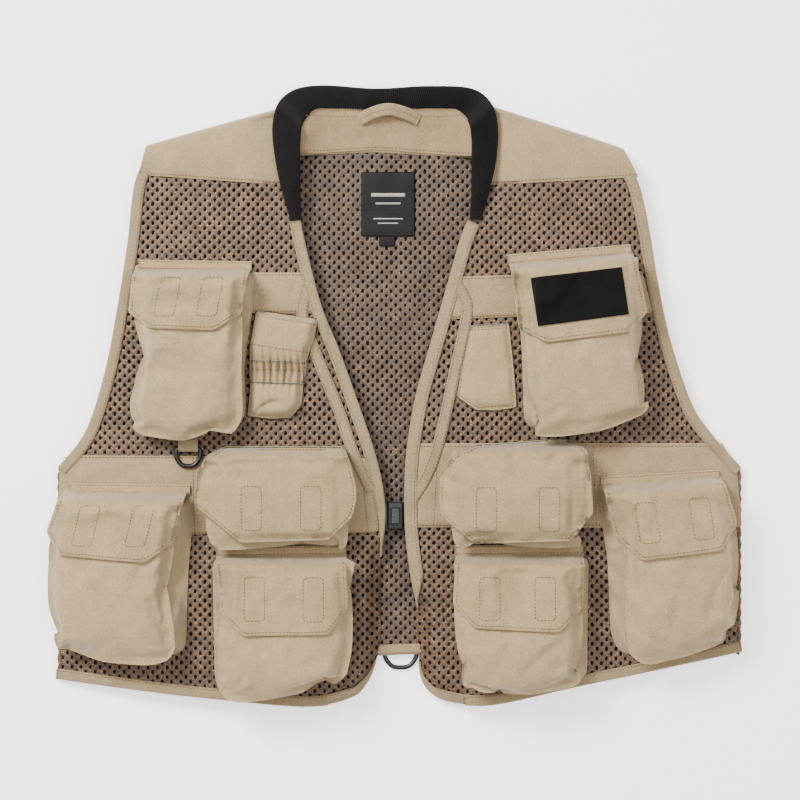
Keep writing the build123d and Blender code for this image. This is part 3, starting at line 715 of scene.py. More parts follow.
def yoke(side, seam, shoulder):
    """A padded yoke from its seam to the shoulder, turning over it to the back."""
    (sx0, sy0), (sx1, sy1) = seam
    (tx0, ty0), (tx1, ty1) = shoulder
    build = Build()
    rows = []
    across, puff = 60, 2.6
    # Rows up the front, round over the shoulder and down behind it.
    rising, rounding, behind = 16, 9, 3
    for k in range(rising + rounding + behind + 1):
        row = []
        for j in range(across + 1):
            u = j / across
            bottom = Vector((mix(sx0, sx1, u), mix(sy0, sy1, u)))
            top = Vector((mix(tx0, tx1, u), mix(ty0, ty1, u)))
            run = (top - bottom).normalized()
            length = (top - bottom).length
            crest = drape(bottom.x, bottom.y) * 0.3 + 0.7 * 16.5 + 2.0
            if k <= rising:
                t = k / rising
                spot = bottom.lerp(top, t)
                z = mix(drape(spot.x, spot.y) + 1.2, crest, smooth(t * 1.6))
                z += puff * math.sin(math.pi * clamp(t)) ** 0.7
                z -= 5.0 * smooth(((1 - u if side > 0 else u) - 0.7) / 0.3)
                gather = (1 - t) ** 1.5 * 0.9 * ripple(spot.x * 3.2, 0, 26, 31 + side)
                z += gather + 0.8 * ripple(spot.x, spot.y, 24, 32 + side)
            else:
                turn = math.pi * (k - rising) / rounding
                if turn <= math.pi:
                    spot = top + run * (math.sin(turn) * 5.5)
                    z = mix(crest, 2.2, (1 - math.cos(turn)) / 2)
                else:
                    spot = top - run * (k - rising - rounding) * 5.5
                    z = 2.0
            row.append((spot.x, spot.y, z))
        rows.append(row)
    build.grid(rows)
    seam_line = [Vector((mix(sx0, sx1, t), mix(sy0, sy1, t) + 2.2)) for t in (0, 0.5, 1)]

    def top_of(x, y):
        best = min((p for row in rows[:6] for p in row), key=lambda p: (p[0] - x) ** 2 + (p[1] - y) ** 2)
        return best[2] + 0.1

    stitches(build, resample(seam_line, 4), top_of)
    piece = build.done(f"{SIDES[side]}_yoke_cloth", [YOKE_TAN, THREAD_TAN])
    return stay(piece, "vest", "yoke_cloth", f"{SIDES[side]}_shoulder_yoke")


yokes = [
    yoke(-1, [(-226, 198), (-94, 188.5)], [(-221, 219), (-99, 252.6)]),
    yoke(1, [(82, 189), (213, 196)], [(80, 254.8), (202, 217)]),
]


def facing_height(x, y):
    side = smooth((abs(x + 8) - 52) / 26)
    z = back(x, y) + 1.6 + side * 10.5 + smooth((y - 232) / 22) * 2.5 * (1 - side)
    return z + 0.9 * ripple(x, y, 22, 41) + 0.7 * ripple(x * 0.4, y * 2.2, 17, 42)


facing_outline = [(-88, 216.5), (-18, 221.3), (70, 214.5), (67, 243), (54, 257), (-72, 257), (-83, 241)]
facing = cloth(
    "neck_facing_cloth", rounded(facing_outline, 6),
    facing_height, [SHADED_FACING_TAN, THREAD_TAN], step=3.2,
    seams=[[(-86, 218.8), (-18, 223.4), (68, 217)], [(-80, 250.5), (-18, 250), (62, 250.5)]],
)
stay(facing, "vest", "facing_cloth", "neck_facing")
back_yoke_outline = [(-214, 200), (-208, 219), (-108, 247), (-80, 250), (68, 250), (90, 248), (190, 217), (200, 199)]
back_yoke_outline += [(66, 214), (-18, 219), (-82, 216)]
back_yoke = cloth(
    "back_yoke_cloth", back_yoke_outline,
    lambda x, y: back(x, y) + 0.2, [YOKE_TAN, THREAD_TAN], thick=0.8, step=6,
)
stay(back_yoke, "vest", "yoke_cloth", "back_yoke")

COLLAR = [
    ((-93, 158.4), (-83.5, 158.4)), ((-101, 186), (-84, 183)), ((-106.5, 214), (-84, 208)),
    ((-108.5, 240), (-83.6, 232)), ((-103, 262), (-80.5, 247)), ((-88, 274.5), (-70, 253.2)),
    ((-62, 277.6), (-52, 253.4)), ((-18, 274.8), (-18, 252.4)), ((28, 277), (22, 253.2)),
    ((66, 275), (50, 252.8)), ((83, 262), (62.5, 246)), ((89.5, 240), (66, 231)),
    ((88, 211), (66.3, 208)), ((82, 183), (66, 183)), ((75.3, 158.4), (64.8, 158.4)),
]


def collar():
    """Rib knit: a band with its ribs across it, from one front edge round the neck to the other."""
    outer = catmull([p for p, _ in COLLAR], 0.45)
    inner = catmull([q for _, q in COLLAR], 0.45)
    count = 1100
    outer = resample(outer, 0.1)
    inner = resample(inner, 0.1)
    build = Build()
    rows = []
    for i in range(count + 1):
        share = i / count
        # The inner edge is shorter, so each rib leans along the bend, as knitted ribs do.
        a = outer[round(share * (len(outer) - 1))]
        b = inner[round(share * (len(inner) - 1))]
        level = smooth((a.y - 255) / 21)
        wobble = 0.9 * ripple(a.x, a.y, 38, 51)
        base = mix(20.6 - 3.0 * smooth((190 - a.y) / 30), 3.0, level)
        rib = math.cos(2 * math.pi * i / 5)
        row = []
        for k in range(11):
            v = k / 10
            p = a.lerp(b, v)
            dome = math.sin(math.pi * clamp(v * 0.92 + 0.04)) ** 0.55
            z = base + 1.0 + 3.6 * dome + wobble + 0.6 * rib * (0.4 + 0.6 * dome) + 1.6 * level * (1 - v)
            row.append((p.x, p.y, z))
        for v in (1.0, 0.5, 0.0):
            p = a.lerp(b, v)
            row.append((p.x, p.y, base - 0.9))
        rows.append(row)
    build.bar(rows)
    return build.done("collar_knit", [RIB])


collar_piece = stay(collar(), "vest", "rib_knit", "collar")


# ---------------------------------------------------------------- pockets

# Each pocket's origin, turn, tilt and depth as in the part, then the outline of its bag's front, how far
# the front leans out from its base, the flap's outline, its seam strip and the hook tapes' boxes.
POCKETS = {
    "left_chest": dict(
        at=(-178, 115), turn=0, tilt=-4, depth=28, lean=-6,
        bag=[(-229, 113), (-230, 72), (-227.5, 44), (-234.5, -3.5), (-229, -25), (-221, -28.5), (-185.5, -30.5),
             (-143, -27), (-136, -12), (-137, 26), (-130, 80), (-129, 113)],
        creases=[(-158, -12, -140, -26, 2.6), (-226, -12, -205, -26, 1.6), (-150, 40, -133, 62, 2.2),
                 (-228, 62, -200, 52, 1.8), (-150, 4, -134, 14, 1.8)],
        flap=[(-229.5, 114), (-233.8, 76), (-214.8, 62), (-157.9, 60), (-134, 75), (-126.5, 114)],
        strip=[(-226, 122.5), (-127, 121)], hooks=[(-202, 107, 73), (-165, 107, 73)]),
    "right_chest": dict(
        at=(155, 124.5), turn=4.5, tilt=4, depth=28, lean=5,
        creases=[(120, -20, 146, -4, 2.6), (205, -8, 190, 14, 2.2), (112, 30, 130, 44, 1.8),
                 (214, 40, 196, 52, 1.6), (150, -22, 185, -14, 1.8)],
        bag=[(106, 119), (109, 96), (113, 44), (116, -20), (123, -28), (143.5, -28), (178.5, -23.6),
             (215, -15), (222, -8), (218, 50), (214, 108), (208, 128)],
        flap=[(98, 119), (106.5, 62), (130.4, 49.4), (202, 58.6), (219.8, 76), (207, 129)],
        strip=[(98, 127), (206, 136)], hooks=[(131, 104, 72), (176, 108, 76)]),
    "left_outer": dict(
        at=(-242, -81), turn=0, tilt=-7.8, depth=34, lean=-12,
        creases=[(-208, -196, -190, -214, 3.4), (-214, -174, -200, -206, 2.8), (-222, -206, -204, -214, 2.4),
                 (-300, -190, -286, -212, 2.6), (-262, -160, -240, -200, 2.2), (-204, -150, -190, -158, 2.8)],
        bag=[(-291, -82), (-301, -112), (-305.4, -133), (-304, -183), (-300, -211), (-293, -219.6),
             (-257, -225), (-212.6, -228.4), (-195, -222), (-192, -150), (-187, -84)],
        flap=[(-292, -82), (-306.5, -115.5), (-293, -136), (-218, -141.8), (-192.5, -124.3), (-182, -82)],
        strip=[(-288, -74), (-181, -75)], hooks=[(-274, -92, -127), (-227, -92, -127)]),
    "right_outer": dict(
        at=(237, -71.5), turn=4, tilt=7.4, depth=34, lean=14,
        creases=[(212, -200, 236, -214, 3.2), (206, -160, 222, -180, 2.6), (286, -150, 272, -190, 2.4),
                 (250, -160, 240, -206, 2.2), (290, -196, 270, -208, 2.4)],
        bag=[(188, -74), (197, -137), (201, -206), (206, -220), (218, -227.5), (282.6, -213.5),
             (294, -202), (302, -169), (300, -140), (297, -105), (285, -68)],
        flap=[(179, -76), (190.5, -119), (213.5, -140), (283.5, -131.3), (298.6, -108.5), (285, -68)],
        strip=[(180, -68), (284, -62)], hooks=[(219.6, -89, -124), (267, -85, -121)]),
    "left_inner_upper": dict(
        at=(-106, -40.5), turn=0, tilt=0, depth=30, lean=0,
        creases=[(-148, -46, -112, -72, 2.6), (-90, -42, -82, -62, 2.6), (-66, -44, -44, -60, 2.4),
                 (-98, -44, -76, -86, 1.6), (-168, -66, -146, -60, 1.8)],
        bag=[(-163, -46), (-162, -112), (-160, -129), (-43.5, -129), (-44, -112), (-46, -46)],
        flap=[(-174, -62), (-163.6, -47), (-150.5, -40.3), (-45.5, -40.3), (-40.3, -51), (-34, -75), (-34, -88),
              (-37.6, -102.4), (-58.6, -122.5), (-135.6, -125), (-175, -93)],
        strip=None, hooks=[(-125.6, -75, -113), (-74, -75, -113)]),
    "right_inner_upper": dict(
        at=(104.5, -37), turn=0, tilt=0, depth=30, lean=0,
        creases=[(58, -46, 84, -62, 2.6), (100, -38, 108, -58, 2.4), (150, -38, 128, -66, 2.6),
                 (168, -60, 148, -58, 1.8), (42, -66, 62, -74, 1.8)],
        bag=[(46, -44), (50, -108), (51.5, -128), (163, -128), (162, -108), (160, -43)],
        flap=[(51.6, -46), (70, -38.5), (104, -36.8), (144.4, -33.5), (157.5, -36), (167, -43), (170.6, -71),
              (172.4, -99), (152.3, -123.4), (68.3, -126), (36.8, -100), (36.8, -71), (40.3, -57)],
        strip=None, hooks=[(78.3, -76, -114), (133, -76, -114)]),
    "left_inner_lower": dict(
        at=(-101, -136.5), turn=0, tilt=0, depth=32, lean=8,
        creases=[(-152, -192, -118, -222, 3.0), (-118, -222, -86, -246, 2.6), (-146, -252, -130, -238, 3.4),
                 (-52, -236, -42, -228, 3.0), (-150, -214, -136, -236, 2.0)],
        bag=[(-155, -138), (-155, -190), (-153, -247), (-149, -256), (-140, -260.8), (-123, -260),
             (-79, -256.5), (-48, -247), (-43, -238), (-39.4, -216), (-37.6, -183), (-38, -138)],
        flap=[(-158.5, -137), (-154, -184.6), (-133, -205.6), (-58.6, -203.9), (-41, -181), (-43.5, -137)],
        strip=[(-157.5, -129.5), (-43.8, -128)], hooks=[(-123, -154, -192), (-71.7, -154, -192)]),
    "right_inner_lower": dict(
        at=(108.5, -136), turn=0, tilt=0, depth=32, lean=-7,
        creases=[(60, -232, 84, -248, 3.2), (152, -206, 112, -236, 2.8), (160, -238, 144, -246, 3.2),
                 (56, -190, 76, -216, 2.2), (100, -212, 84, -240, 1.8)],
        bag=[(51.6, -137), (51.6, -236), (57, -247), (75, -256.4), (120, -254), (155, -251), (163, -242),
             (164, -190), (164, -137)],
        flap=[(52, -136), (49, -177.6), (68.3, -198.6), (141.8, -202), (164.5, -180.3), (165, -135)],
        strip=[(51.6, -128.6), (164.5, -127)], hooks=[(81.4, -154, -191), (129.5, -154, -191)]),
}
PART_KNEE = 190.0
PART_HEIGHT = 16.0
PART_MESH = 1.2
POCKET_BASE = 2.6
TURN_ROOM = 10.0
GUSSET_ROWS = 7
BAG_STEP = 4.6
BLOW_FRAMES = 24
BLOW_LIMIT = 0.012


def part_front(x):
    """The height of the front's underside in the part."""
    fold = LEFT_FOLD if x < 0 else RIGHT_FOLD
    return PART_HEIGHT - max(0, abs(x) - PART_KNEE) * (PART_HEIGHT - PART_MESH) / (abs(fold) - PART_KNEE)


def sewn_height(spec):
    """The height of a pocket's origin on the part's front."""
    x = spec["at"][0]
    tilt = math.radians(spec["tilt"])
    half = (max(p[0] for p in spec["bag"]) - min(p[0] for p in spec["bag"])) / 2
    side = -1 if x < 0 else 1
    touching = [x - half, x + half, side * max(PART_KNEE, abs(x) - half)]
    top = max(part_front(at) + (at - x) * math.tan(tilt) for at in touching)
    return top + POCKET_BASE + TURN_ROOM * abs(math.sin(math.radians(spec["turn"])))


def local(spec, x, y):
    """A point's place along and up the pocket, from its origin."""
    turn = math.radians(spec["turn"])
    dx, dy = x - spec["at"][0], y - spec["at"][1]
    return dx * math.cos(turn) + dy * math.sin(turn), dy * math.cos(turn) - dx * math.sin(turn)


def up_of(spec, p):
    """How far up its pocket a point is."""
    return local(spec, p.x, p.y)[1]


def plane_height(spec, x, above):
    """The height over x of a plane above the pocket's own."""
    tilt = math.radians(spec["tilt"])
    return sewn_height(spec) + above / math.cos(tilt) - (x - spec["at"][0]) * math.tan(tilt)


def creased(spec, x, y, width=2.6):
    """How deep the folds pressed into a pocket's cloth are at a point, with the cloth beside them raised."""
    depth = 0.0
    for x0, y0, x1, y1, deep in spec["creases"]:
        a, run = Vector((x0, y0)), Vector((x1 - x0, y1 - y0))
        d = Vector((x, y)) - a
        share = clamp(d.dot(run) / run.length_squared)
        bow = 2.2 * math.sin(math.pi * share)
        if share in (0.0, 1.0):
            off = abs((d - run * share).length - bow)
        else:
            off = (d.x * run.y - d.y * run.x) / run.length - bow
        fade = math.sin(math.pi * mix(0.12, 0.88, share)) ** 0.8
        depth += deep * fade * (bell(off / width) - 0.45 * bell((off - 2.4 * width) / (1.5 * width)))
    return depth


def bag_height(spec, x, y, gap, key):
    """A bag's front before it is blown out: level with the part's, round at its edges, sloped at the top."""
    up = local(spec, x, y)[1]
    top = plane_height(spec, x, spec["depth"] - 1.4)
    low = drape(x, y) + 2.0
    edge = 1 - smooth(gap / 20)
    z = top - 7.5 * edge**1.4
    z += (2.4 * ripple(x, y, 44, key) + 1.3 * ripple(x, y, 19, key + 0.5)) * (1 - 0.7 * edge)
    rise = smooth((2.0 - up) / 11)
    return mix(low, z, rise)


bags = Build()
bag_parts = {}
for number, (pocket, spec) in enumerate(POCKETS.items()):
    ring = rounded(spec["bag"], 9, BAG_STEP)
    middle = sum(ring, Vector((0, 0))) / len(ring)
    flat_points, faces, tree = filled(ring, BAG_STEP)
    first = len(bags.points)
    first_face = len(bags.faces)
    for p in flat_points:
        bags.point((p.x, p.y, bag_height(spec, p.x, p.y, tree.find((p.x, p.y, 0))[2], number * 3)))
    for face in faces:
        bags.face([first + i for i in face])
    above = range(first, first + len(ring))
    for row in range(1, GUSSET_ROWS + 1):
        t = row / GUSSET_ROWS
        fold = 5.0 * math.sin(math.pi * t)
        here = []
        for i, p in enumerate(ring):
            inward = (middle - p).normalized()
            near_top = 1 - smooth((3 - up_of(spec, p)) / 16)
            q = p + inward * ((2.5 * t + fold) * (1 - near_top)) - Vector((spec["lean"] * t, 0))
            z = mix(bags.points[first + i][2], drape(q.x, q.y) + 1.6, t)
            here.append(bags.point((q.x, q.y, z)))
        bags.join(above, here)
        above = here
    pinned = above + [first + i for i, p in enumerate(ring) if up_of(spec, p) > -4]
    bag_parts[pocket] = (first, len(bags.points), first_face, len(bags.faces), pinned, ring)

all_bags = bags.done("all_bags", [TAN])
rest = [v.co.copy() for v in all_bags.data.vertices]
group = all_bags.vertex_groups.new(name="sewn")
for _, _, _, _, pinned, _ in bag_parts.values():
    group.add(pinned, 1.0, "REPLACE")
fabric = all_bags.modifiers.new("cloth", "CLOTH")
for key, value in dict(
    quality=6, mass=0.25, tension_stiffness=14, compression_stiffness=14, shear_stiffness=5,
    bending_stiffness=0.35, vertex_group_mass="sewn", pin_stiffness=1, use_pressure=True,
    uniform_pressure_force=3.0, shrink_min=-0.085, air_damping=3,
).items():
    setattr(fabric.settings, key, value)
fabric.settings.effector_weights.gravity = 0
fabric.collision_settings.use_collision = False
fabric.point_cache.frame_start = 1
fabric.point_cache.frame_end = BLOW_FRAMES
for frame_number in range(1, BLOW_FRAMES + 1):
    bpy.context.scene.frame_set(frame_number)
blown = all_bags.evaluated_get(bpy.context.evaluated_depsgraph_get())
moved = [v.co.copy() for v in blown.data.vertices]
all_bags.modifiers.remove(fabric)
bpy.context.scene.frame_set(1)
for number, (before, after) in enumerate(zip(rest, moved)):
    change = after - before
    if change.length > BLOW_LIMIT:
        change *= BLOW_LIMIT / change.length
    bags.points[number] = tuple((c / MM) + o for c, o in zip(before + change, (*MIDDLE, 0)))
for pocket, (first, last, *_) in bag_parts.items():
    spec = POCKETS[pocket]
    for number in range(first, last):
        x, y, z = bags.points[number]
        low = drape(x, y) + 1.6
        share = smooth((z - low - 8) / 12)
        bags.points[number] = (x, y, z - creased(spec, x, y) * share)
bpy.data.objects.remove(all_bags)


def subdivide(piece):
    """Smooths a piece by one subdivision and keeps the result."""
    modifier = piece.modifiers.new("smooth", "SUBSURF")
    modifier.levels = 1
    result = bpy.data.meshes.new_from_object(piece.evaluated_get(bpy.context.evaluated_depsgraph_get()))
    piece.modifiers.remove(modifier)
    piece.data = result


def top_surface(piece):
    """A height lookup on a piece's upper side, in millimetres, or None off it."""
    tree = BVHTree.FromObject(piece, bpy.context.evaluated_depsgraph_get())

    def height(x, y):
        spot = tree.ray_cast(Vector(place(x, y, 1.0 / MM)), Vector((0, 0, -1)))[0]
        return None if spot is None else spot.z / MM

    return height


def stitch_piece(name, piece, lines):
    """Rows of stitches as one piece, wherever the lines cross the piece they are sewn through."""
    height = top_surface(piece)
    build = Build()
    for line in lines:
        line = resample([Vector(p) for p in line], 3)
        run = []
        for p in line + [None]:
            z = height(p.x, p.y) if p is not None else None
            if z is not None:
                run.append(p)
                continue
            if len(run) > 1:
                stitches(build, run, lambda x, y: (height(x, y) or height(run[0].x, run[0].y)) + 0.1, tag=0)
            run = []
    return build.done(name, [THREAD_TAN])


bag_tops = {}
for pocket, (first, last, first_face, last_face, _, _) in bag_parts.items():
    faces = [tuple(i - first for i in face) for face in bags.faces[first_face:last_face]]
    piece = make(f"{pocket}_bag", bags.points[first:last], faces, [TAN])
    subdivide(piece)
    stay(piece, "vest", "pocket_cloth", f"{pocket}_pocket")
    bag_tops[pocket] = top_surface(piece)


# ---------------------------------------------------------------- flaps

FLAP_THICK = 2.0
FLAP_STEP = 3.4


def rectangle(x0, y0, x1, y1):
    """The corners of an upright rectangle, in order."""
    return [(x0, y0), (x1, y0), (x1, y1), (x0, y1)]


def shrink(ring, distance):
    """A closed outline moved inwards."""
    count = len(ring)
    area = sum(ring[i - 1].x * ring[i].y - ring[i].x * ring[i - 1].y for i in range(count))
    sign = 1 if area > 0 else -1
    out = []
    for i, p in enumerate(ring):
        run = (ring[(i + 1) % count] - ring[i - 1]).normalized()
        out.append(Vector((p.x - sign * run.y * distance, p.y + sign * run.x * distance)))
    return out


def double_cloth(name, outline, top, thick, materials, step=FLAP_STEP):
    """Two layers of cloth turned in on each other at a rounded rim: top gives the upper side's height."""
    inner = shrink(outline, 1.0)
    points, faces, _ = filled(inner, step)
    build = Build()
    for p in points:
        build.point((p.x, p.y, top(p.x, p.y)))
    below = len(points)
    for p in points:
        build.point((p.x, p.y, top(p.x, p.y) - thick))
    for face in faces:
        build.face(face)
        build.face([below + i for i in reversed(face)])
    rim = [build.point((p.x, p.y, top(p.x, p.y) - thick / 2)) for p in outline]
    for i in range(len(inner)):
        j = (i + 1) % len(inner)
        build.face((i, rim[i], rim[j], j))
        build.face((below + i, below + j, rim[j], rim[i]))
    return build.done(name, materials)


def flap_top(pocket, spec, key):
    """The height of a flap's upper side: over the bag's top edge, then down along its front."""
    bag_top = bag_tops[pocket]
    tree = nearest(flap_rings[pocket])
    corners = [local(spec, *p) for p in spec["flap"]]
    length = max(-up for _, up in corners)
    half = max(abs(along) for along, _ in corners)
    store = {}

    def rest_level(x, y):
        """The bag's front under a point, evened out over a few millimetres, or None well off it."""
        found = [bag_top(x + dx, y + dy) for dx in (-8, 0, 8) for dy in (-8, 0, 8)]
        found = [z for z in found if z is not None]
        return sum(found) / len(found) if found else None

    def height(x, y):
        code = (round(x * 20), round(y * 20))
        if code in store:
            return store[code]
        along, up = local(spec, x, y)
        over = plane_height(spec, x, spec["depth"] + 3.6)
        over -= 2.6 * smooth((-up - 14) / (length - 14))
        over -= 3.2 * smooth((abs(along) - half + 20) / 20) * smooth((-up - 6) / 20)
        level = rest_level(x, y)
        if level is not None:
            over = mix(over, min(over, level + FLAP_THICK + 2.2), smooth((-up - 4) / 14))
        gap = tree.find((x, y, 0))[2]
        over += 0.9 * ripple(x, y, 30, key) + 0.45 * ripple(x, y, 12, key + 0.4)
        over += 0.5 * ripple(x, y, 8, key + 0.7) * (1 - smooth(gap / 8))
        if not spec["strip"]:
            over -= 1.5 * creased(spec, x, y, 3.4) * smooth((-up - 1) / 7)
        floor_level = bag_top(x, y)
        low = drape(x, y) + 2.7
        z = mix(low, over, smooth((0.5 - up) / 10))
        if floor_level is not None:
            z = max(z, floor_level + mix(0.4, FLAP_THICK + 1.9, smooth((-up - 2) / 9)))
        store[code] = z
        return z

    return height


def tucked(spec):
    """A flap's outline with its top edge run on beneath the seam strip."""
    out = []
    for x, y in spec["flap"]:
        out.append((x, y + 5.5) if spec["strip"] and local(spec, x, y)[1] > -10 else (x, y))
    return out


flap_rings = {pocket: rounded(tucked(spec), 2.6, 2.4) for pocket, spec in POCKETS.items()}
flap_tops = {}
loop_build = Build()
SLANT = {"left_chest": 6.5, "left_outer": 8.5, "right_outer": -2.5}


def hinge_blend(piece):
    """Bakes a flap piece's placement into its mesh."""
    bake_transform(piece)


def slab(build, corners, height, thick, step=2.2, rough=0.0):
    """A small four-sided patch with its own thickness, on a height."""
    a, b, c, d = (Vector(p) for p in corners)
    across = max(2, round((b - a).length / step))
    down = max(2, round((d - a).length / step))
    rows = []
    for i in range(down + 1):
        left, right = a.lerp(d, i / down), b.lerp(c, i / down)
        row = []
        for j in range(across + 1):
            p = left.lerp(right, j / across)
            z = height(p.x, p.y)
            row.append((p.x, p.y, z + thick + rough * ripple(p.x * 7, p.y * 7, 9, 3)))
        first, last = row[0], row[-1]
        row = [(first[0], first[1], first[2] - thick)] + row + [(last[0], last[1], last[2] - thick)]
        rows.append(row)
    head, foot = (
        [(x, y, z - thick if 0 < k < len(row) - 1 else z) for k, (x, y, z) in enumerate(row)]
        for row in (rows[0], rows[-1])
    )
    build.grid([head] + rows + [foot])


for number, (pocket, spec) in enumerate(POCKETS.items()):
    ring = flap_rings[pocket]
    top = flap_top(pocket, spec, 60 + number)
    flap_tops[pocket] = top
    flap = double_cloth(f"{pocket}_flap_cloth", ring, top, FLAP_THICK, [FLAP_TAN])
    subdivide(flap)
    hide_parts(f"{pocket}_flap")
    hinge_blend(flap)

    build = Build()
    line = shrink(ring, 3.2)
    start = max(range(len(line)), key=lambda i: up_of(spec, line[i]))
    edge_run = [p for p in line[start:] + line[:start] if up_of(spec, p) < -3]
    stitches(build, edge_run, lambda x, y: top(x, y) + 0.12, tag=0)
    turn = math.radians(spec["turn"])
    slant = SLANT.get(pocket, 0.0)
    for x, y0, y1 in spec["hooks"]:
        box = [(x - 8.8 + slant, y0), (x + 8.8 + slant, y0), (x + 8.8, y1), (x - 8.8, y1)]
        middle = Vector((x, (y0 + y1) / 2))
        turned = []
        for p in rounded(box, 2.6, 1.0):
            d = p - middle
            turned.append(middle + Vector((d.x * math.cos(turn) - d.y * math.sin(turn),
                                           d.x * math.sin(turn) + d.y * math.cos(turn))))
        stitches(build, turned + turned[:1], lambda px, py: top(px, py) + 0.08, tag=0)
    marks = build.done(f"{pocket}_flap_stitches", [THREAD_TAN])
    hinge_blend(marks)

    hooks = Build()
    for x, y0, y1 in spec["hooks"]:
        y0 = min(y0, spec["at"][1] - 14)
        corners = rectangle(x - 8.5, y0 - 1, x + 8.5, y1 + 1)
        slab(hooks, corners, lambda px, py: top(px, py) - FLAP_THICK + 0.1, -0.9, rough=0.12)
        slab(loop_build, corners, lambda px, py: (bag_tops[pocket](px, py) or 40) - 0.1, 0.9, rough=0.12)
    piece = hooks.done(f"{pocket}_hooks", [HOOK_BROWN])
    stay(piece, f"{pocket}_flap_body", "hook_tape", f"{pocket}_hook_tapes")

    if spec["strip"]:
        (x0, y0), (x1, y1) = spec["strip"]
        line = resample([Vector((x0, y0 - 3.6)), Vector((x1, y1 - 3.6))], 4)
        piece = tape(f"{pocket}_strip", line, 8.4, drape, 1.7, [TAN, THREAD_TAN], seams=(2.9, -2.9), lift=2.9)
        stay(piece, "vest", "pocket_cloth")

stay(loop_build.done("pocket_loops", [LOOP_BROWN]), "vest", "loop_tape", "loop_tapes")

patch_outline = [(117, 106), (196, 115.5), (202, 74.4), (123, 64)]
patch = Build()
slab(patch, patch_outline, lambda x, y: flap_tops["right_chest"](x, y) + 0.1, 1.5, step=1.5, rough=0.35)
patch_piece = stay(patch.done("loop_patch", [PILE]), "right_chest_flap_body", "patch_loop", "flap_patch")


# ---------------------------------------------------------------- pouches without a flap


def puffed(outline, rise, key, folds, base=1.6):
    """A pouch's rounded outline and the height of its front: sewn at its outline and puffed out in the middle."""
    ring = rounded(outline, 3, 1.5)
    tree = nearest(ring)

    def height(x, y):
        gap = tree.find((x, y, 0))[2]
        z = drape(x, y) + base + rise(x, y) * smooth(gap / 9) ** 0.6
        z += (1.1 * ripple(x, y, 19, key) + folds * ripple(x, y, 9, key + 0.3)) * smooth(gap / 6)
        return z

    return ring, height


def tool_rise(x, y):
    pinch = bell((y - 25) / 11)
    mouth = smooth((80 - y) / 7)
    gathers = 3.3 * math.sin(x * 1.05 + 1.6 * ripple(x, y, 15, 5)) * bell((y - 25) / 17)
    along = clamp((x + 126) / 24)
    crease = (y - (-13 + 11 * along + 4 * math.sin(3 * along))) / 1.7
    gathers -= 4.4 * bell(crease) * smooth((-100 - x) / 6) * smooth((14 - y) / 10)
    return (12.5 * (1 - 0.66 * pinch) + gathers) * (0.72 + 0.28 * mouth)


tool_outline = [(-123.5, 79.6), (-67.4, 71.8), (-71, 52), (-78, 34), (-80.5, 12), (-82, -5), (-92, -16.6),
                (-110, -17.6), (-131.3, -14.9), (-129, 12), (-129.5, 46)]
ring, tool_height = puffed(tool_outline, tool_rise, 71, 0.5)
tool = double_cloth("tool_pocket_cloth", ring, tool_height, 1.4, [TAN], step=1.9)
stay(tool, "vest", "pocket_cloth", "tool_pocket")
marks = stitch_piece("tool_pocket_stitches", tool, [
    [(-122, 73.5), (-70, 66)], [(-127.5, 49), (-74, 41)], [(-126, 70), (-128, 50)]])
stay(marks, "vest", "pocket_cloth")


def elastic_height(x, y):
    return tool_height(x, y) + 2.3 * abs(math.sin(x * 0.74 + 0.9 * ripple(x, y, 13, 8))) ** 0.8 - 0.7


elastic_ring = rounded([(-128.4, 36), (-79, 34), (-80.8, 13.5), (-128.6, 15)], 1.5, 1.6)
elastic = double_cloth("gathered_elastic", elastic_ring, lambda x, y: elastic_height(x, y) + 0.5, 1.1, [ELASTIC_TAN],
                       step=1.4)
stay(elastic, "vest", "elastic_cloth", "tool_pocket_elastic")
marks = stitch_piece("elastic_stitches", elastic, [
    [(-127.5, 33.5), (-80.5, 31.5)], [(-127.5, 27), (-80.5, 25.5)], [(-127.5, 18), (-81, 16.5)]])
stay(marks, "vest", "elastic_cloth")

side_outline = [(64.8, 65.6), (99.8, 68.3), (104, 30), (106.8, -7), (88, -10), (70, -9.6), (52.5, 2.6),
                (55.1, 21), (60, 44)]
ring, side_height = puffed(side_outline, lambda x, y: 5.2, 81, 0.3)
side_pocket = double_cloth("side_pocket_cloth", ring, side_height, 1.4, [TAN], step=2.4)
stay(side_pocket, "vest", "pocket_cloth", "side_pocket")
marks = stitch_piece("side_pocket_stitches", side_pocket, [
    [(65, 61), (98, 63.5)], [(65, 63), (98, 65.5)], [(58, 22), (55.5, 4), (71, -6.5), (103, -4.5)]])
stay(marks, "vest", "pocket_cloth")


# ---------------------------------------------------------------- label, loop and rings


def label_level(x, y):
    return back(x, y) + 1.0 + 0.35 * ripple(x, y, 25, 91)


label = double_cloth("neck_label_cloth", rounded(rectangle(-30.6, 144.4, 16.6, 201.3), 1.2, 2.2),
                     lambda x, y: label_level(x, y) + 0.9, 0.7, [LABEL], step=3)
stay(label, "vest", "label", "neck_label")
tab = double_cloth("size_tab_cloth", rounded(rectangle(-14.9, 135.6, -0.9, 146), 0.8, 1.6),
                   lambda x, y: label_level(x, y) + 0.5, 0.5, [LABEL], step=2.4)
stay(tab, "vest", "label")
marks = Build()
for left, right, level, tall in ((-22, 8, 181, 3.2), (-18, 4, 173.5, 1.6), (-20, 6, 160, 1.2), (-16, 2, 156, 1.2)):
    slab(marks, rectangle(left, level + tall / 2, right, level - tall / 2),
         lambda x, y: label_level(x, y) + 0.9, 0.16, step=1.4)
stay(marks.done("label_bars", [LABEL_MARK]), "vest", "label")


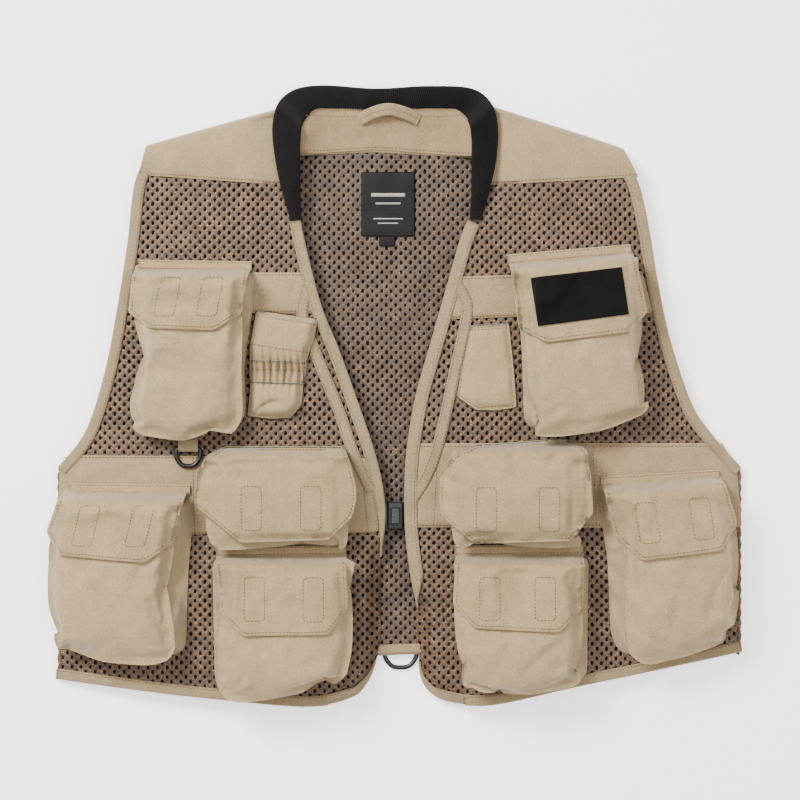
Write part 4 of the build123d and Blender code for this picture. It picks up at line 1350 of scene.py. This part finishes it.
def tube(build, line, radius, sides, flat=1.0):
    """A round or flattened bar along a closed line of points in space."""
    rows = []
    for i, p in enumerate(line):
        run = (line[(i + 1) % len(line)] - line[i - 1]).normalized()
        side = run.cross(Vector((0, 0, 1))).normalized()
        lift = side.cross(run).normalized()
        row = []
        for k in range(sides):
            turn = 2 * math.pi * k / sides
            row.append(p + side * math.cos(turn) * radius + lift * math.sin(turn) * radius * flat)
        rows.append(row)
    build.grid(rows + [rows[0]], ring=True)


def d_ring(name, at, size, bar, height, flat=1.0):
    """A moulded D-ring with its straight bar at the top and a rounded bow below."""
    wide, deep = size
    outline = [(-wide / 2, 0), (wide / 2, 0), (wide / 2, -deep * 0.5), (wide * 0.26, -deep), (-wide * 0.26, -deep),
               (-wide / 2, -deep * 0.5)]
    ring = rounded(outline, 5.5, 0.9)
    line = [Vector((at[0] + p.x, at[1] + p.y, height)) for p in ring]
    build = Build()
    tube(build, line, bar / 2, 16, flat)
    return build.done(name, [RING])


chest_ring = d_ring("chest_ring_bar", (-182.5, -42.5), (21.8, 15.4), 4.0, 21.15)
stay(chest_ring, "chest_ring_body", "ring_plastic", "chest_d_ring")
net_ring = d_ring("net_ring_bar", (4.0, -219.0), (28.2, 17.2), 4.2, 1.95, 0.69)
stay(net_ring, "net_ring_body", "ring_plastic", "net_d_ring")


def ring_loop(name, at, wide, bar, height, tail, thick, up_to):
    """A tape folded round a D-ring's bar, its two ends lying together on the cloth above it."""
    section = [(tail, up_to - 0.1), (tail * 0.5, up_to - 0.1)]
    radius = bar / 2 + 0.25
    for k in range(13):
        turn = -math.pi / 2 - math.pi * k / 12
        section.append((radius * math.cos(turn), radius * math.sin(turn)))
    section += [(tail * 0.5, up_to + 1.3), (tail, up_to + 1.2)]
    section = [Vector(p) for p in section]
    loop = section + side_shift(section, thick)[::-1]
    build = Build()
    rows = []
    for k in range(9):
        x = at[0] - wide / 2 + wide * k / 8
        rows.append([(x, at[1] + y, height + z) for y, z in loop])
    build.bar(rows)
    return build.done(name, [TAPE_TAN])


chest_loop = ring_loop("chest_ring_loop", (-182.5, -42.5), 17.4, 3.5, 21.15, 9.5, 1.0, 1.0)
stay(chest_loop, "vest", "tan_webbing", "chest_ring_tab")
net_loop = ring_loop("net_ring_loop", (4.0, -219.0), 15.0, 2.6, 1.9, 4.2, 0.3, 0.9)
stay(net_loop, "vest", "tan_webbing", "net_ring_tab")


def loop_arch(x, y):
    return 5.2 + 9.0 * (1 - ((x + 6) / 30.5) ** 2) + 0.16 * (y - 247)


hanger = tape("hanger_tape", catmull([(-32.5, 246.6), (-22, 252), (-7, 255.6), (8, 252.4), (20, 247.2)], 2), 10.4,
              loop_arch, 1.5, TAPE_CLOTH, seams=(0.0,), step=1.6)
stay(hanger, "hanger_loop_body", "tan_webbing", "hanger_loop")


# ---------------------------------------------------------------- buckle and straps


def box_piece(build, low, high, bevel, steps=3):
    """A box with rounded upright and upper edges."""
    (x0, y0, z0), (x1, y1, z1) = low, high
    ring = rounded(rectangle(x0, y0, x1, y1), max(bevel, 0.3), 0.8)
    layers = [(z0, 0.0)]
    for k in range(steps + 1):
        turn = math.pi / 2 * k / steps
        layers.append((z1 - bevel * (1 - math.sin(turn)), bevel * (1 - math.cos(turn))))
    rows = []
    for z, inset in layers:
        rows.append([(p.x, p.y, z) for p in (shrink(ring, inset) if inset else ring)])
    build.bar(rows, turned=True)


BUCKLE_Y = -102.0
buckle_low, buckle_high = BUCKLE_Y - 12, BUCKLE_Y + 12
socket = Build()
box_piece(socket, (-7.4, buckle_low, 3.7), (6.4, buckle_high, 13.0), bevel=1.4)
box_piece(socket, (6.2, buckle_low + 0.4, 4.2), (18.0, buckle_low + 2.6, 11.6), bevel=0.9)
box_piece(socket, (6.2, buckle_high - 2.6, 4.2), (18.0, buckle_high - 0.4, 11.6), bevel=0.9)
box_piece(socket, (15.6, buckle_low + 2.0, 6.2), (18.0, buckle_high - 2.0, 10.4), bevel=0.9)
rim_ring = rounded(rectangle(-5.0, -109.9, 4.1, -94.6), 1.3, 0.8)
tube(socket, [Vector((p.x, p.y, 13.0)) for p in rim_ring], 0.55, 10)
stay(socket.done("buckle_shell_piece", [PLASTIC]), "vest", "buckle_plastic", "buckle_socket")

button = Build()
rows = []
columns, lines = 34, 62
for j in range(lines + 1):
    y = -109.2 + 14.4 * j / lines
    row = []
    for i in range(columns + 1):
        x = -4.5 + 8.0 * i / columns
        rim_gap = min(x + 4.5, 3.5 - x, y + 109.2, -94.8 - y)
        crown = smooth(rim_gap / 1.0)
        diamond = abs(math.sin((x + y) * 1.75)) * abs(math.sin((x - y) * 1.75))
        flat_top = smooth((rim_gap - 1.0) / 0.5)
        z = 12.9 + 1.1 * crown - 0.15 * flat_top + 0.42 * diamond * flat_top
        row.append((x, y, z))
    rows.append(row)
numbers = button.grid(rows)
border = numbers[0][:-1] + [n[-1] for n in numbers[:-1]] + numbers[-1][:0:-1] + [n[0] for n in numbers[:0:-1]]
feet = [button.point((*button.points[n][:2], 11.7)) for n in border]
for k in range(len(border)):
    m = (k + 1) % len(border)
    button.face((border[k], feet[k], feet[m], border[m]))
button.face(reversed(feet))
stay(button.done("buckle_button_piece", [BUTTON]), "buckle_button_body", "button_plastic", "buckle_button")

tongue = Build()
for near, far in ((buckle_low + 0.2, buckle_low + 1.6), (buckle_high - 1.6, buckle_high - 0.2)):
    box_piece(tongue, (-9.8, near, 4.0), (-7.7, far, 12.4), bevel=0.4)
    box_piece(tongue, (-19.8, near, 5.2), (-9.6, far, 9.9), bevel=0.4)
for left, right, levels in ((-9.8, -7.7, (4.0, 5.85, 7.5, 12.4)), (-20.0, -17.8, (5.2, 5.85, 7.5, 9.9))):
    # The strap runs through a slot between these two bars as the tongue slides along it.
    for low, high in (levels[:2], levels[2:]):
        box_piece(tongue, (left, buckle_low + 1.4, low), (right, buckle_high - 1.4, high), bevel=0.25)
box_piece(tongue, (-7.9, -108.0, 8.0), (6.2, -96.0, 9.9), bevel=0.5)
stay(tongue.done("buckle_tongue_piece", [PLASTIC]), "buckle_tongue_body", "buckle_plastic", "buckle_tongue")


def strap_piece(node, stations):
    """A webbing strap through stations of X and the height of its middle."""
    line = resample(catmull(stations, 2), 2)
    section = [(-10, 0), (-9.7, 0.6)] + [(-9 + 2 * k, 0.66) for k in range(10)] + [(9.7, 0.6), (10, 0)]
    section += [(9.7, -0.6), (-9.7, -0.6)]
    build = Build()
    rows = []
    for i, p in enumerate(line):
        run = heading(line, i)
        rows.append([(p.x - run.y * w, BUCKLE_Y + v, p.y + run.x * w) for v, w in section])
    build.bar(rows)
    return stay(build.done(f"{node}_piece", [WEBBING]), "vest", "tan_webbing", node)


left_strap = strap_piece("left_strap", [
    (-75, 14.4), (-62, 14.2), (-54, 10.4), (-47.5, 6.75), (-38, 6.65), (-16, 6.65)])
right_strap = strap_piece("right_strap", [
    (75, 14.4), (60, 14.0), (46, 11.4), (30, 10.9), (17.6, 11.0), (15.0, 8.4), (17.6, 5.2), (30, 5.2), (44, 5.4)])


# ---------------------------------------------------------------- each bag's outline, looked up and not used


for pocket, spec in POCKETS.items():
    ring = bag_parts[pocket][5]


# ---------------------------------------------------------------- camera, floor and light

camera = show("camera", bpy.data.cameras.new("camera"))
camera.data.sensor_width = 36
camera.data.lens = 154
camera.location = (0.0035, -0.004, 3.025)
bpy.context.scene.camera = camera

floor_mesh = bpy.data.meshes.new("floor")
floor_mesh.from_pydata([(-4, -4, 0), (4, -4, 0), (4, 4, 0), (-4, 4, 0)], [], [(0, 1, 2, 3)])
floor_mesh.materials.append(FLOOR)
floor = show("floor", floor_mesh)
floor.location.z = -0.0004

for name, spot, size, power in (
    ("key", (-1.5, 1.5, 2.2), 1.0, 185), ("fill", (1.7, -0.6, 2.2), 2.4, 30), ("top", (0.1, 0.3, 3.4), 2.6, 52),
):
    holder = show(name, bpy.data.lights.new(name, "AREA"))
    holder.data.size = size
    holder.data.energy = power
    holder.location = spot
    holder.rotation_euler = (-Vector(spot)).to_track_quat("-Z", "Y").to_euler()

world = bpy.data.worlds.new("studio")
world.use_nodes = True
sky = world.node_tree.nodes["Background"].inputs
sky["Color"].default_value = (1.0, 1.0, 1.0, 1.0)
sky["Strength"].default_value = 0.85
bpy.context.scene.world = world
